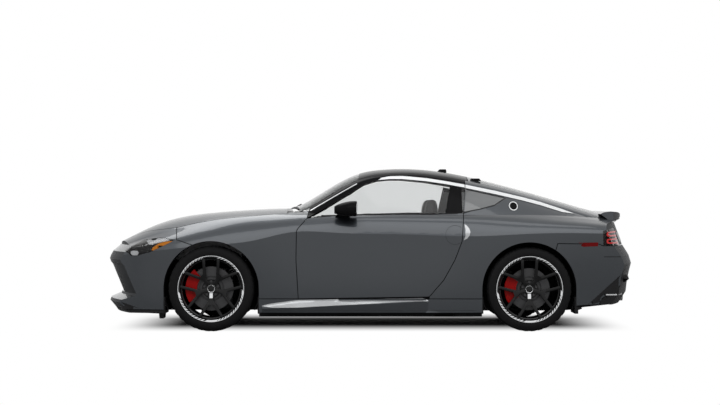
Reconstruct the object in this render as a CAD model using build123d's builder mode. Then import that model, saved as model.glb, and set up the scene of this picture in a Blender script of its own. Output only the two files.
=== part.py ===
"""A two-seat coupe car, built as separate panels, glass, lamps, cabin, axles and wheels.

Frame: +X forward, +Y to the car's left, +Z up, origin on the ground under the middle. Millimetres.
"""
import math
import os

from build123d import *

os.makedirs("parts", exist_ok=True)

# ---------------------------------------------------------------- overall sizes
WHEELBASE = 2550
FRONT_AXLE_X = 1278
REAR_AXLE_X = FRONT_AXLE_X - WHEELBASE
FRONT_OVERHANG = 912
REAR_OVERHANG = 918
NOSE_X = FRONT_AXLE_X + FRONT_OVERHANG
TAIL_X = REAR_AXLE_X - REAR_OVERHANG

PANEL_GAP = 6
SKIN = 34
DOOR_DEPTH = 100
GLASS = 5
WIDE = 1100
HATCH_LOW = 700
HIGH = 1500

# ---------------------------------------------------------------- wheels and brakes
FRONT_TYRE = {"r": 343, "w": 246, "y": 776}
REAR_TYRE = {"r": 338, "w": 262, "y": 772}
RIM_R = 252
ARCH_CLEARANCE = 40
HUB_R = 78
SPOKES = 5
LUG_PCD = 114.3
LUG_R = 10
DISC_T = 30
FRONT_DISC_R = 177
REAR_DISC_R = 168

# ---------------------------------------------------------------- body sections
# Lower body. Each row is one cross section:
# x, z of the underside, y and z of the side crease, y of the underside edge,
# y and z of the shoulder, slope of the deck at the shoulder (degrees), z of the deck's middle.
LOWER = [
    (FRONT_AXLE_X + 972, 112, 672, 560, 650, 520, 620, 24, 610),
    (FRONT_AXLE_X + 800, 112, 758, 596, 726, 590, 664, 30, 690),
    (FRONT_AXLE_X + 560, 118, 846, 634, 822, 668, 752, 36, 824),
    (FRONT_AXLE_X + 300, 130, 888, 664, 862, 712, 828, 36, 911),
    (FRONT_AXLE_X, 145, 914, 694, 882, 736, 894, 28, 948),
    (FRONT_AXLE_X - 330, 152, 908, 728, 874, 742, 928, 22, 972),
    (FRONT_AXLE_X - 640, 152, 896, 796, 868, 748, 944, 20, 978),
    (FRONT_AXLE_X - 1000, 152, 893, 792, 868, 790, 936, 16, 960),
    (REAR_AXLE_X + 950, 152, 896, 778, 872, 792, 938, 16, 960),
    (REAR_AXLE_X + 460, 152, 908, 764, 880, 792, 934, 18, 960),
    (REAR_AXLE_X, 170, 922, 784, 886, 774, 930, 22, 960),
    (REAR_AXLE_X - 330, 204, 908, 790, 866, 742, 912, 22, 935),
    (REAR_AXLE_X - 640, 214, 862, 784, 822, 700, 880, 18, 905),
    (REAR_AXLE_X - 980, 240, 770, 740, 736, 640, 838, 12, 860),
]

# Greenhouse. Each row is one cross section:
# x, y and z of the foot of the side glass, y and z of the top of the side glass, z of the roof's middle.
UPPER = [
    (FRONT_AXLE_X - 560, 742, 860, 706, 900, 952),
    (FRONT_AXLE_X - 690, 752, 880, 712, 930, 1012),
    (FRONT_AXLE_X - 890, 768, 900, 686, 1024, 1128),
    (FRONT_AXLE_X - 1193, 786, 915, 610, 1190, 1280),
    (FRONT_AXLE_X - 1400, 794, 925, 586, 1236, 1312),
    (REAR_AXLE_X + 950, 796, 930, 576, 1240, 1316),
    (REAR_AXLE_X + 590, 796, 935, 572, 1192, 1278),
    (REAR_AXLE_X + 240, 788, 930, 574, 1122, 1200),
    (REAR_AXLE_X - 108, 762, 915, 588, 1034, 1106),
    (REAR_AXLE_X - 400, 722, 880, 606, 946, 1020),
    (REAR_AXLE_X - 640, 690, 840, 620, 872, 954),
    (REAR_AXLE_X - 900, 650, 780, 610, 792, 892),
]


def lower_section(row, inset):
    """Half of one lower cross section, from the middle out to the side and over the deck."""
    x, z_under, y_crease, z_crease, y_under, y_deck, z_deck, slope, z_mid = row
    y_under, y_crease = y_under - inset, y_crease - inset
    y_deck, z_deck, z_mid = y_deck - 0.6 * inset, z_deck - 0.9 * inset, z_mid - inset
    z_under = z_under - inset
    rise = z_crease - z_under
    step = math.dist((y_crease, z_crease), (y_deck, z_deck))
    out = math.cos(math.radians(slope))
    down = math.sin(math.radians(slope))
    with BuildSketch(Plane.YZ.offset(x)) as section:
        with BuildLine():
            Line((0, z_under), (y_under, z_under))
            Bezier((y_under, z_under), (y_under + 4, z_under + 0.3 * rise),
                   (y_crease - 16, z_under + 0.66 * rise), (y_crease, z_crease))
            Bezier((y_crease, z_crease), (y_crease - 0.1 * step, z_crease + 0.42 * step),
                   (y_deck + 0.36 * step * out, z_deck - 0.36 * step * down), (y_deck, z_deck))
            Bezier((y_deck, z_deck), (y_deck * (1 - 0.3 * out), z_deck + 0.22 * y_deck * down),
                   (0.45 * y_deck, z_mid), (0, z_mid))
            Line((0, z_mid), (0, z_under))
        make_face()
    return section.sketch.face()


def upper_section(row, inset):
    """Half of one greenhouse cross section: foot, side glass, roof rail and crown."""
    x, y_foot, z_foot, y_rail, z_rail, z_mid = row
    y_foot, y_rail = y_foot - inset, y_rail - 0.8 * inset
    z_rail, z_mid = z_rail - 0.6 * inset, z_mid - inset
    z_base = z_foot - 120
    y_base = y_foot + 20
    lift = z_mid - z_rail
    with BuildSketch(Plane.YZ.offset(x)) as section:
        with BuildLine():
            Line((0, z_base), (y_base, z_base))
            Line((y_base, z_base), (y_foot, z_foot))
            Bezier((y_foot, z_foot), (0.5 * (y_foot + y_rail) + 12, 0.5 * (z_foot + z_rail) + 8),
                   (y_rail, z_rail))
            Bezier((y_rail, z_rail), (y_rail - 0.45 * lift, z_rail + 0.62 * lift),
                   (0.55 * y_rail, z_mid), (0, z_mid))
            Line((0, z_mid), (0, z_base))
        make_face()
    return section.sketch.face()


def whole(rows, section, inset=0):
    """A full-width solid lofted through one table's half sections."""
    with BuildPart() as solid:
        loft([section(row, inset) for row in rows])
        mirror(about=Plane.XZ)
    return solid.part


# Nose and tail caps: side profiles turned about upright axes, so that both ends are bowed in plan.
NOSE_BOW_R = 1850
TAIL_BOW_R = 2300

with BuildPart() as nose_cap:
    with BuildSketch(Plane.XZ) as nose_profile:
        with BuildLine():
            Polyline((NOSE_X - NOSE_BOW_R, 0), (NOSE_X - NOSE_BOW_R, HIGH), (NOSE_X - 118, HIGH),
                     (NOSE_X - 96, 690), (NOSE_X - 30, 636), (NOSE_X - 8, 596), (NOSE_X, 572),
                     (NOSE_X - 8, 545), (NOSE_X - 24, 526), (NOSE_X - 58, 430), (NOSE_X - 104, 300),
                     (NOSE_X - 96, 284), (NOSE_X - 14, 250), (NOSE_X - 4, 226), (NOSE_X - 48, 172),
                     (NOSE_X - 78, 130), (NOSE_X - 90, 0),
                     close=True)
        make_face()
    revolve(axis=Axis((NOSE_X - NOSE_BOW_R, 0, 0), (0, 0, 1)), revolution_arc=360)
    with Locations((NOSE_X - NOSE_BOW_R, 0, 0)):
        Box(2 * NOSE_BOW_R, 2 * WIDE, HIGH, align=(Align.MAX, Align.CENTER, Align.MIN))

with BuildPart() as tail_cap:
    with BuildSketch(Plane.XZ) as tail_profile:
        with BuildLine():
            Polyline((TAIL_X + TAIL_BOW_R, 0), (TAIL_X + TAIL_BOW_R, HIGH), (TAIL_X + 400, HIGH),
                     (TAIL_X + 96, 960), (TAIL_X + 92, 900), (TAIL_X + 140, 868), (TAIL_X + 76, 690),
                     (TAIL_X + 20, 600), (TAIL_X, 535), (TAIL_X + 14, 480), (TAIL_X + 32, 400),
                     (TAIL_X + 44, 300), (TAIL_X + 100, 212), (TAIL_X + 330, 186), (TAIL_X + 340, 0),
                     close=True)
        make_face()
    revolve(axis=Axis((TAIL_X + TAIL_BOW_R, 0, 0), (0, 0, 1)), revolution_arc=360)
    with Locations((TAIL_X + TAIL_BOW_R, 0, 0)):
        Box(2 * TAIL_BOW_R, 2 * WIDE, HIGH, align=(Align.MIN, Align.CENTER, Align.MIN))

SPOILER_BOW_R = 1500
SPOILER_TIP_X = TAIL_X + 84
with BuildPart() as spoiler_cap:
    with BuildSketch(Plane.XY.offset(HATCH_LOW)):
        with Locations((SPOILER_TIP_X + SPOILER_BOW_R, 0)):
            Circle(SPOILER_BOW_R)
    extrude(amount=HIGH - HATCH_LOW)

# ---------------------------------------------------------------- master solids
lower_body = whole(LOWER, lower_section)
upper_body = whole(UPPER, upper_section)
body_solid = (lower_body + upper_body) & nose_cap.part & tail_cap.part
inner_solid = whole(LOWER, lower_section, SKIN) + whole(UPPER, upper_section, SKIN)
inner_solid = inner_solid & (Pos(-SKIN, 0, 0) * nose_cap.part) & (Pos(SKIN, 0, 0) * tail_cap.part)
body_skin = body_solid - inner_solid
cabin_void = whole(LOWER, lower_section, DOOR_DEPTH)
glass_void = whole(UPPER, upper_section, GLASS)
glass_skin = upper_body - glass_void

# Wheel arches: an open bay for each pair of wheels, cut in from the sides.
FRONT_BAY_Y = 450
REAR_BAY_Y = 560
front_arch_r = FRONT_TYRE["r"] + ARCH_CLEARANCE
rear_arch_r = REAR_TYRE["r"] + ARCH_CLEARANCE
with BuildPart() as arches:
    for axle_x, tyre, radius, bay_y in ((FRONT_AXLE_X, FRONT_TYRE, front_arch_r, FRONT_BAY_Y),
                                        (REAR_AXLE_X, REAR_TYRE, rear_arch_r, REAR_BAY_Y)):
        with BuildSketch(Plane.XZ.offset(-WIDE)):
            with Locations((axle_x, tyre["r"])):
                Circle(radius)
            with Locations((axle_x, tyre["r"] / 2 - 100)):
                Rectangle(2 * radius, tyre["r"] + 200)
        extrude(amount=WIDE - bay_y)
    mirror(about=Plane.XZ)

# ---------------------------------------------------------------- shutlines, seen from the left side
DOOR_FRONT_X = 598
DOOR_REAR_X = -470
DOOR_BOTTOM = 262
ROOF_SPLIT_X = -773
HATCH_FRONT_X = -800
BONNET_REAR_X = 668
SEAT_GAP = 0.6
DOOR_INNER_Y = 700
SIDE_Y = 300
SPLITTER_TOP = 172
FRONT_ARCH_X = FRONT_AXLE_X + 152

door_front = [(510, 908), (530, 884), (585, 823), (DOOR_FRONT_X - 4, 800), (DOOR_FRONT_X, 575),
              (DOOR_FRONT_X - 18, DOOR_BOTTOM)]
door_rear = [(DOOR_REAR_X, DOOR_BOTTOM + 16), (-587, 414), (-675, 574), (-731, 721), (-747, 926),
             (-749, 950)]
glass_top = [(388, 972), (188, 1092), (50, 1178), (-60, 1212), (-160, 1222), (-262, 1222),
             (-460, 1204), (-620, 1180), (ROOF_SPLIT_X, 1152)]
wing_rear = [(FRONT_ARCH_X, 60), (FRONT_ARCH_X, 695), (FRONT_AXLE_X + 277, 735),
             (FRONT_AXLE_X + 330, 1100)]
bumper_top = [(REAR_AXLE_X - 205, 60), (REAR_AXLE_X - 205, 640), (REAR_AXLE_X - 224, 706),
              (REAR_AXLE_X - 560, 700), (-1866, 686), (-2400, 690)]

door_line = door_front + door_rear + [(300, 926)]
side_glass_line = [(510, 902)] + glass_top + [(-749, 944), (300, 920)]
quarter_glass_line = [(-776, 1148), (-920, 1118), (-1090, 1074), (-1104, 1064), (-1058, 1040),
                      (-1010, 1008), (-880, 974), (-757, 952)]
fender_line = door_front + [(FRONT_ARCH_X, DOOR_BOTTOM)]
fender_line = fender_line + wing_rear[1:] + [(480, 1100)]
front_bumper_line = [(FRONT_ARCH_X, SPLITTER_TOP)] + wing_rear[1:] + [(2400, 1100), (2400, SPLITTER_TOP)]
rail_line = [(510, 908)] + glass_top + [(ROOF_SPLIT_X, 1500), (480, 1500), (480, 1100)]
quarter_line = [(DOOR_REAR_X, DOOR_BOTTOM)] + door_rear + [glass_top[-1], (ROOF_SPLIT_X, 1500)]
quarter_line = quarter_line + [(-2400, 1500)] + bumper_top[::-1] + [(REAR_AXLE_X, DOOR_BOTTOM)]
sill_line = [(FRONT_AXLE_X, DOOR_BOTTOM), (REAR_AXLE_X, DOOR_BOTTOM), (REAR_AXLE_X, 60),
             (FRONT_AXLE_X, 60)]
headlamp_line = [(1985, 650), (1924, 606), (1877, 606), (1756, 640), (1585, 725), (1572, 736),
                 (1691, 753), (1836, 730)]
tail_lamp_line = [(-1862, 806), (-1866, 690), (-2400, 694), (-2400, 830), (-2000, 830)]
diffuser_line = [(TAIL_X - 200, 470), (TAIL_X + 40, 462), (TAIL_X + 330, 262), (TAIL_X + 440, 60),
                 (TAIL_X - 200, 60)]
rear_bumper_line = bumper_top + [(TAIL_X - 210, 470), (TAIL_X + 40, 462), (TAIL_X + 330, 262),
                                 (TAIL_X + 440, 60)]


def side_knife(points, gap=PANEL_GAP, inner_y=SIDE_Y):
    """A prism through the car's left half, from an outline in the side view, less half a gap."""
    with BuildPart() as knife:
        with BuildSketch(Plane.XZ.offset(-WIDE)):
            with BuildLine():
                Polyline(points, close=True)
            make_face()
            if gap:
                offset(amount=-gap / 2, kind=Kind.INTERSECTION)
        extrude(amount=WIDE - inner_y)
    return knife.part


def plan_knife(points, low, gap=PANEL_GAP):
    """A prism seen from above, symmetric about the middle, from the left half's outline."""
    outline = points + [(x, -y) for x, y in reversed(points) if y > 0]
    with BuildPart() as knife:
        with BuildSketch(Plane.XY.offset(low)):
            with BuildLine():
                Polyline(outline, close=True)
            make_face()
            if gap:
                offset(amount=-gap / 2, kind=Kind.INTERSECTION)
        extrude(amount=HIGH - low)
    return knife.part


bonnet_line = [(NOSE_X - 96, 0), (NOSE_X - 112, 300), (NOSE_X - 190, 470), (1840, 560), (1700, 655),
               (1560, 716), (1300, 742), (1055, 750), (BONNET_REAR_X, 740), (BONNET_REAR_X + 40, 0)]
windscreen_line = [(700, 0), (640, 560), (560, 672), (470, 650), (98, 548), (84, 0)]
roof_line = [(84, 0), (98, 548), (-60, 518), (-300, 508), (-560, 504), (HATCH_FRONT_X, 500),
             (HATCH_FRONT_X, 0)]
hatch_line = [(HATCH_FRONT_X, 0), (HATCH_FRONT_X, 500), (-1000, 498), (-1400, 506), (-1720, 530),
              (-1850, 566), (-1880, 600), (-2400, 600), (-2400, 0)]
hatch_glass_line = [(-850, 0), (-850, 452), (-1000, 446), (-1400, 446), (-1700, 458), (-1790, 440),
                    (-1810, 0)]
grille_line = [(-340, 520), (-420, 400), (-460, 300), (460, 300), (420, 400), (340, 520)]
BLADE_PROUD = 4
BLADE_SPLIT = 3
blade_front = [(-64, 1218), (-90, 1236), (-160, 1249), (-262, 1251), (-460, 1233), (-620, 1208),
               (ROOF_SPLIT_X + BLADE_SPLIT, 1181), (ROOF_SPLIT_X + BLADE_SPLIT, 1156), (-620, 1184),
               (-460, 1208), (-262, 1226), (-160, 1226)]
blade_rear = [(ROOF_SPLIT_X - BLADE_SPLIT, 1180), (-1030, 1127), (-1240, 1078), (-1380, 1041),
              (-1560, 982), (-1664, 943), (-1560, 957), (-1380, 1014), (-1240, 1051), (-1030, 1100),
              (ROOF_SPLIT_X - BLADE_SPLIT, 1153)]
BONNET_LOW = 560
SCREEN_LOW = 880


def save(piece, name):
    """Label one finished sub-part and write its STEP file."""
    piece.label = name
    export_step(piece, f"parts/{name}.step")


def mirrored(piece):
    """The right-hand copy of a left-hand piece."""
    with BuildPart() as other:
        mirror(piece, about=Plane.XZ)
    return other.part


def save_pair(piece, name):
    """Write a left-hand piece and its mirror image as two nodes."""
    save(piece, f"{name}_left")
    save(mirrored(piece), f"{name}_right")


def save_both(piece, name):
    """Write a left-hand piece and its mirror image as two solids of one node."""
    save(Compound([piece, mirrored(piece)]), name)


# What the neighbours of each opening panel are cut back to.
bonnet_room = plan_knife(bonnet_line, BONNET_LOW, -PANEL_GAP)
roof_room = plan_knife(roof_line, 1000, -PANEL_GAP)
screen_room = plan_knife(windscreen_line, SCREEN_LOW, 0)
hatch_room = plan_knife(hatch_line, HATCH_LOW, -PANEL_GAP)
headlamp_room = side_knife(headlamp_line, 0, 450)
tail_lamp_room = side_knife(tail_lamp_line, 0, 600)
door_room = side_knife(door_line, -PANEL_GAP)
with BuildPart() as lamp_rooms:
    add(headlamp_room)
    add(tail_lamp_room)
    mirror(about=Plane.XZ)

with BuildPart() as grille_room:
    with BuildSketch(Plane.YZ.offset(NOSE_X - 400)):
        with BuildLine():
            Polyline(grille_line, close=True)
        make_face()
    extrude(amount=500)

TIP_Y = 330
TIP_Z = 268
TIP_R = 48
SILENCER_X = TAIL_X + 350
TIP_IN = 98
with BuildPart() as tip_rooms:
    with BuildSketch(Plane.YZ.offset(TAIL_X - 50)):
        with Locations((TIP_Y, TIP_Z), (-TIP_Y, TIP_Z)):
            Circle(TIP_R + PANEL_GAP)
    extrude(amount=SILENCER_X - TAIL_X + 250)

# ---------------------------------------------------------------- body panels
bonnet_cut = plan_knife(bonnet_line, BONNET_LOW)
with BuildPart() as bonnet:
    add(body_skin)
    add(bonnet_cut, mode=Mode.INTERSECT)
save(bonnet.part, "bonnet")

roof_cut = plan_knife(roof_line, 1000)
with BuildPart() as roof:
    add(body_skin)
    add(roof_cut, mode=Mode.INTERSECT)
save(roof.part, "roof")

windscreen_cut = plan_knife(windscreen_line, SCREEN_LOW, SEAT_GAP)
with BuildPart() as windscreen:
    add(glass_skin)
    add(windscreen_cut, mode=Mode.INTERSECT)
    add(lower_body, mode=Mode.SUBTRACT)
save(windscreen.part, "windscreen")

hatch_opening = plan_knife(hatch_glass_line, 800, 0)
SPOILER_PROFILE = [(-1878, 940), (-1905, 954), (-1960, 961), (-2040, 955), (-2098, 938), (-2108, 926),
                   (-2096, 916), (-2050, 906), (-2010, 880), (-1960, 880)]
SPOILER_Y = 594
with BuildPart() as spoiler:
    with BuildSketch(Plane.XZ.offset(-SPOILER_Y)):
        with BuildLine():
            Polyline(SPOILER_PROFILE, close=True)
        make_face()
    extrude(amount=2 * SPOILER_Y)
spoiler_lip = (spoiler.part & spoiler_cap.part) - inner_solid

hatch_cut = plan_knife(hatch_line, HATCH_LOW)
with BuildPart() as hatch:
    add(body_skin)
    add(hatch_cut, mode=Mode.INTERSECT)
    add(spoiler_lip)
    add(hatch_opening, mode=Mode.SUBTRACT)
save(hatch.part, "hatch")

hatch_glass_cut = plan_knife(hatch_glass_line, 800, SEAT_GAP)
with BuildPart() as hatch_glass:
    add(glass_skin)
    add(hatch_glass_cut, mode=Mode.INTERSECT)
save(hatch_glass.part, "hatch_glass")

fender_cut = side_knife(fender_line, inner_y=DOOR_INNER_Y)
with BuildPart() as fender:
    add(body_skin)
    add(fender_cut, mode=Mode.INTERSECT)
    add(bonnet_room, mode=Mode.SUBTRACT)
    add(arches.part, mode=Mode.SUBTRACT)
    add(headlamp_room, mode=Mode.SUBTRACT)
save_both(fender.part, "front_fenders")

front_bumper_cut = side_knife(front_bumper_line, inner_y=-WIDE)
with BuildPart() as front_bumper:
    add(body_skin)
    add(front_bumper_cut, mode=Mode.INTERSECT)
    add(bonnet_room, mode=Mode.SUBTRACT)
    add(arches.part, mode=Mode.SUBTRACT)
    add(lamp_rooms.part, mode=Mode.SUBTRACT)
    add(grille_room.part, mode=Mode.SUBTRACT)
save(front_bumper.part, "front_bumper")

headlamp_cut = side_knife(headlamp_line, SEAT_GAP, 450 + SEAT_GAP)
with BuildPart() as headlamp:
    add(body_skin)
    add(headlamp_cut, mode=Mode.INTERSECT)
    add(bonnet_room, mode=Mode.SUBTRACT)
save_both(headlamp.part, "headlamps")

door_cut = side_knife(door_line, inner_y=DOOR_INNER_Y)
with BuildPart() as door:
    add(body_solid)
    add(door_cut, mode=Mode.INTERSECT)
    add(cabin_void, mode=Mode.SUBTRACT)
save_pair(door.part, "door")

side_glass_cut = side_knife(side_glass_line)
with BuildPart() as side_glass:
    add(glass_skin)
    add(side_glass_cut, mode=Mode.INTERSECT)
save_pair(side_glass.part, "door_glass")

quarter_glass_cut = side_knife(quarter_glass_line, SEAT_GAP)
with BuildPart() as quarter_glass:
    add(glass_skin)
    add(quarter_glass_cut, mode=Mode.INTERSECT)
save_both(quarter_glass.part, "quarter_glass")

rail_cut = side_knife(rail_line)
with BuildPart() as rail:
    add(body_skin)
    add(rail_cut, mode=Mode.INTERSECT)
    add(roof_room, mode=Mode.SUBTRACT)
    add(screen_room, mode=Mode.SUBTRACT)
save_both(rail.part, "roof_rails")

quarter_opening = side_knife(quarter_glass_line, 0)
quarter_cut = side_knife(quarter_line)
with BuildPart() as quarter:
    add(body_skin)
    add(quarter_cut, mode=Mode.INTERSECT)
    add(hatch_room, mode=Mode.SUBTRACT)
    add(roof_room, mode=Mode.SUBTRACT)
    add(quarter_opening, mode=Mode.SUBTRACT)
    add(arches.part, mode=Mode.SUBTRACT)
    add(tail_lamp_room, mode=Mode.SUBTRACT)
save_both(quarter.part, "quarter_panels")

tail_lamp_cut = side_knife(tail_lamp_line, SEAT_GAP, 600 + SEAT_GAP)
with BuildPart() as tail_lamp:
    add(body_skin)
    add(tail_lamp_cut, mode=Mode.INTERSECT)
    add(hatch_room, mode=Mode.SUBTRACT)
save_both(tail_lamp.part, "tail_lamps")

rear_bumper_cut = side_knife(rear_bumper_line, inner_y=-WIDE)
with BuildPart() as rear_bumper:
    add(body_skin)
    add(rear_bumper_cut, mode=Mode.INTERSECT)
    add(arches.part, mode=Mode.SUBTRACT)
save(rear_bumper.part, "rear_bumper")

diffuser_cut = side_knife(diffuser_line, inner_y=-WIDE)
with BuildPart() as diffuser:
    add(body_skin)
    add(diffuser_cut, mode=Mode.INTERSECT)
    add(tip_rooms.part, mode=Mode.SUBTRACT)
save(diffuser.part, "diffuser")

sill_cut = side_knife(sill_line, inner_y=DOOR_INNER_Y)
# The skirt's top facet runs out from the door's foot: x, y and z of its outer edge, z of its inner edge.
SKIRT = [(FRONT_AXLE_X - 410, 884, 186, 210), (FRONT_AXLE_X - 690, 902, 192, 250),
         (REAR_AXLE_X + 1000, 894, 232, 257), (REAR_AXLE_X + 810, 880, 246, 257)]
SKIRT_ROOT_Y = 845
with BuildPart() as skirt:
    for x, y_out, z_out, z_in in SKIRT:
        with BuildSketch(Plane.YZ.offset(x)):
            with BuildLine():
                Polyline((SKIRT_ROOT_Y, 152), (y_out - 8, 152), (y_out, z_out), (866, z_in),
                         (SKIRT_ROOT_Y, z_in), close=True)
            make_face()
    loft(ruled=True)
skirt_trim = skirt.part - inner_solid

with BuildPart() as sill:
    add(body_skin)
    add(sill_cut, mode=Mode.INTERSECT)
    add(arches.part, mode=Mode.SUBTRACT)
    add(skirt_trim)
save_both(sill.part, "sills")

blade_stock = whole(UPPER, upper_section, -BLADE_PROUD) - upper_body
blade_cuts = [side_knife(blade_front, 0), side_knife(blade_rear, 0)]
blade_pieces = [blade_stock & cut for cut in blade_cuts]
save_both(Compound(blade_pieces), "roof_blades")

# ---------------------------------------------------------------- unibody under the panels
FRAME_T = 16
FLOOR_Z = 250
FIREWALL_X = 585
WALL_T = 20
CARGO_Z = 560
BULKHEAD_X = -730
CABIN_Y = 690
ARM_LOW_Z = 215
ARM_HIGH_Z = 452
ARM_T = 20

deeper_void = whole(LOWER, lower_section, SKIN + FRAME_T) + whole(UPPER, upper_section, SKIN + FRAME_T)
frame_shift = SKIN + FRAME_T
deeper_void = deeper_void & (Pos(-frame_shift, 0, 0) * nose_cap.part) & (Pos(frame_shift, 0, 0) * tail_cap.part)
with BuildPart() as door_rooms:
    add(door_room)
    mirror(about=Plane.XZ)
side_window_room = side_knife(side_glass_line, -PANEL_GAP)
quarter_window_room = side_knife(quarter_glass_line, 20)
with BuildPart() as window_rooms:
    add(side_window_room)
    add(quarter_window_room)
    mirror(about=Plane.XZ)
screen_hole = plan_knife(windscreen_line, SCREEN_LOW, 40)
with BuildPart() as unibody:
    add(inner_solid)
    add(deeper_void, mode=Mode.SUBTRACT)
    add(bonnet_room, mode=Mode.SUBTRACT)
    add(hatch_room, mode=Mode.SUBTRACT)
    add(door_rooms.part, mode=Mode.SUBTRACT)
    add(window_rooms.part, mode=Mode.SUBTRACT)
    add(screen_hole, mode=Mode.SUBTRACT)
    add(arches.part, mode=Mode.SUBTRACT)
    add(grille_room.part, mode=Mode.SUBTRACT)
    add(tip_rooms.part, mode=Mode.SUBTRACT)
save(unibody.part, "unibody")

TRAY_Z = 150
TRAY_T = 20
FRONT_WALL_X = FRONT_AXLE_X + 470
JACK_PAD_T = 8
JACK_FRONT_X = 700
JACK_REAR_X = -620
JACK_Y = 660
with BuildPart() as undertray:
    add(deeper_void)
    with BuildSketch(Plane.XY.offset(TRAY_Z)):
        with Locations(((FRONT_WALL_X + REAR_AXLE_X - 460) / 2, 0)):
            Rectangle(FRONT_WALL_X - REAR_AXLE_X + 460, 2 * WIDE)
    extrude(amount=TRAY_T, mode=Mode.INTERSECT)
    add(arches.part, mode=Mode.SUBTRACT)
    with BuildSketch(Plane.XY.offset(TRAY_Z - JACK_PAD_T)):
        with Locations((JACK_FRONT_X, JACK_Y), (JACK_FRONT_X, -JACK_Y), (JACK_REAR_X, JACK_Y),
                       (JACK_REAR_X, -JACK_Y)):
            Rectangle(100, 50)
    extrude(amount=JACK_PAD_T)
save(undertray.part, "undertray")


def slab(x, thickness, low, high, half_width):
    """An upright wall across the car, trimmed to the inside of the unibody."""
    with BuildPart() as wall:
        with BuildSketch(Plane.YZ.offset(x)):
            with Locations((0, (low + high) / 2)):
                Rectangle(2 * half_width, high - low)
        extrude(amount=thickness)
        add(deeper_void, mode=Mode.INTERSECT)
        add(arches.part, mode=Mode.SUBTRACT)
    return wall.part


FLOOR_TOP = TRAY_Z + TRAY_T
firewall_wall = slab(FIREWALL_X, WALL_T, FLOOR_TOP, HIGH, CABIN_Y)
save(firewall_wall, "firewall")

HOUSE_T = 8
LINK_WINDOW = 145
LINK_WINDOW_TOP = 490
with BuildPart() as wheelhouses:
    for axle_x, tyre_size, radius, bay_y in ((FRONT_AXLE_X, FRONT_TYRE, front_arch_r, FRONT_BAY_Y),
                                             (REAR_AXLE_X, REAR_TYRE, rear_arch_r, REAR_BAY_Y)):
        with BuildSketch(Plane.XZ.offset(-bay_y + HOUSE_T)):
            with Locations((axle_x, tyre_size["r"])):
                Circle(radius + HOUSE_T)
        extrude(amount=-(WIDE - bay_y))
        with BuildSketch(Plane.XZ.offset(-bay_y)):
            with Locations((axle_x, tyre_size["r"])):
                Circle(radius)
        extrude(amount=-(WIDE - bay_y), mode=Mode.SUBTRACT)
        with BuildSketch(Plane.XY):
            with Locations((axle_x, 0)):
                Rectangle(2 * LINK_WINDOW, 2 * WIDE)
        extrude(amount=LINK_WINDOW_TOP, mode=Mode.SUBTRACT)
    with BuildSketch(Plane.XY):
        Rectangle(3 * WHEELBASE, 2 * WIDE)
    extrude(amount=FLOOR_TOP, mode=Mode.SUBTRACT)
    mirror(about=Plane.XZ)
    add(deeper_void, mode=Mode.INTERSECT)
    add(hatch_room, mode=Mode.SUBTRACT)
    add(bonnet_room, mode=Mode.SUBTRACT)
save(wheelhouses.part, "wheelhouses")

with BuildPart() as cargo_floor:
    with BuildSketch(Plane.XY.offset(CARGO_Z)):
        with Locations(((BULKHEAD_X - 1900) / 2, 0)):
            Rectangle(1900 + BULKHEAD_X, 2 * (REAR_BAY_Y - HOUSE_T - 1))
    extrude(amount=WALL_T)
    with BuildSketch(Plane.YZ.offset(BULKHEAD_X - WALL_T)):
        with Locations((0, (FLOOR_TOP + CARGO_Z) / 2)):
            Rectangle(2 * CABIN_Y, CARGO_Z - FLOOR_TOP)
    extrude(amount=WALL_T)
    add(deeper_void, mode=Mode.INTERSECT)
    add(hatch_room, mode=Mode.SUBTRACT)
    add(arches.part, mode=Mode.SUBTRACT)
save(cargo_floor.part, "cargo_floor")

# ---------------------------------------------------------------- engine, axles and exhaust
ENGINE = {"x": 1350, "l": 620, "w": 560, "low": 260, "high": 760}
KING_Y = 756
KING_R = 16
BEAM_Y = 430
DISC_Y = 814
CALLIPER_Y = 34
FIT = 0.3

with BuildPart() as engine:
    with BuildSketch(Plane.XY.offset(ENGINE["low"])):
        with Locations((ENGINE["x"], 0)):
            Rectangle(ENGINE["l"], ENGINE["w"])
    extrude(amount=ENGINE["high"] - ENGINE["low"])
    fillet(engine.edges().filter_by(Axis.Z), 40)
save(engine.part, "engine")


def wishbone(axle_x, z, root_x):
    """One wishbone, from the beam out to its ball joint."""
    with BuildPart() as link:
        with BuildSketch(Plane.XY.offset(z)):
            with BuildLine():
                Polyline((axle_x - root_x, BEAM_Y - 20), (axle_x - KING_R, KING_Y), (axle_x + KING_R, KING_Y),
                         (axle_x + root_x, BEAM_Y - 20), (axle_x + root_x - 50, BEAM_Y - 20),
                         (axle_x, KING_Y - 110), (axle_x - root_x + 50, BEAM_Y - 20), close=True)
            make_face()
            with Locations((axle_x, KING_Y)):
                Circle(KING_R)
        extrude(amount=ARM_T)
    return link.part


def beam(axle_x, top):
    """A cross beam under the car with an upright at its left end for the wishbones."""
    with BuildPart() as member:
        with BuildSketch(Plane.XY.offset(FLOOR_TOP)):
            with Locations((axle_x, BEAM_Y / 2)):
                Rectangle(300, BEAM_Y)
        extrude(amount=top - FLOOR_TOP)
        with BuildSketch(Plane.XY.offset(top)):
            with Locations((axle_x, BEAM_Y - 15)):
                Rectangle(260, 30)
        extrude(amount=ARM_HIGH_Z + ARM_T - top)
    return member.part


front_links = [wishbone(FRONT_AXLE_X, ARM_LOW_Z, 130), wishbone(FRONT_AXLE_X, ARM_HIGH_Z, 110),
               beam(FRONT_AXLE_X, ENGINE["low"])]
with BuildPart() as front_subframe:
    add(front_links)
    mirror(about=Plane.XZ)
save(front_subframe.part, "front_subframe")

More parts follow.
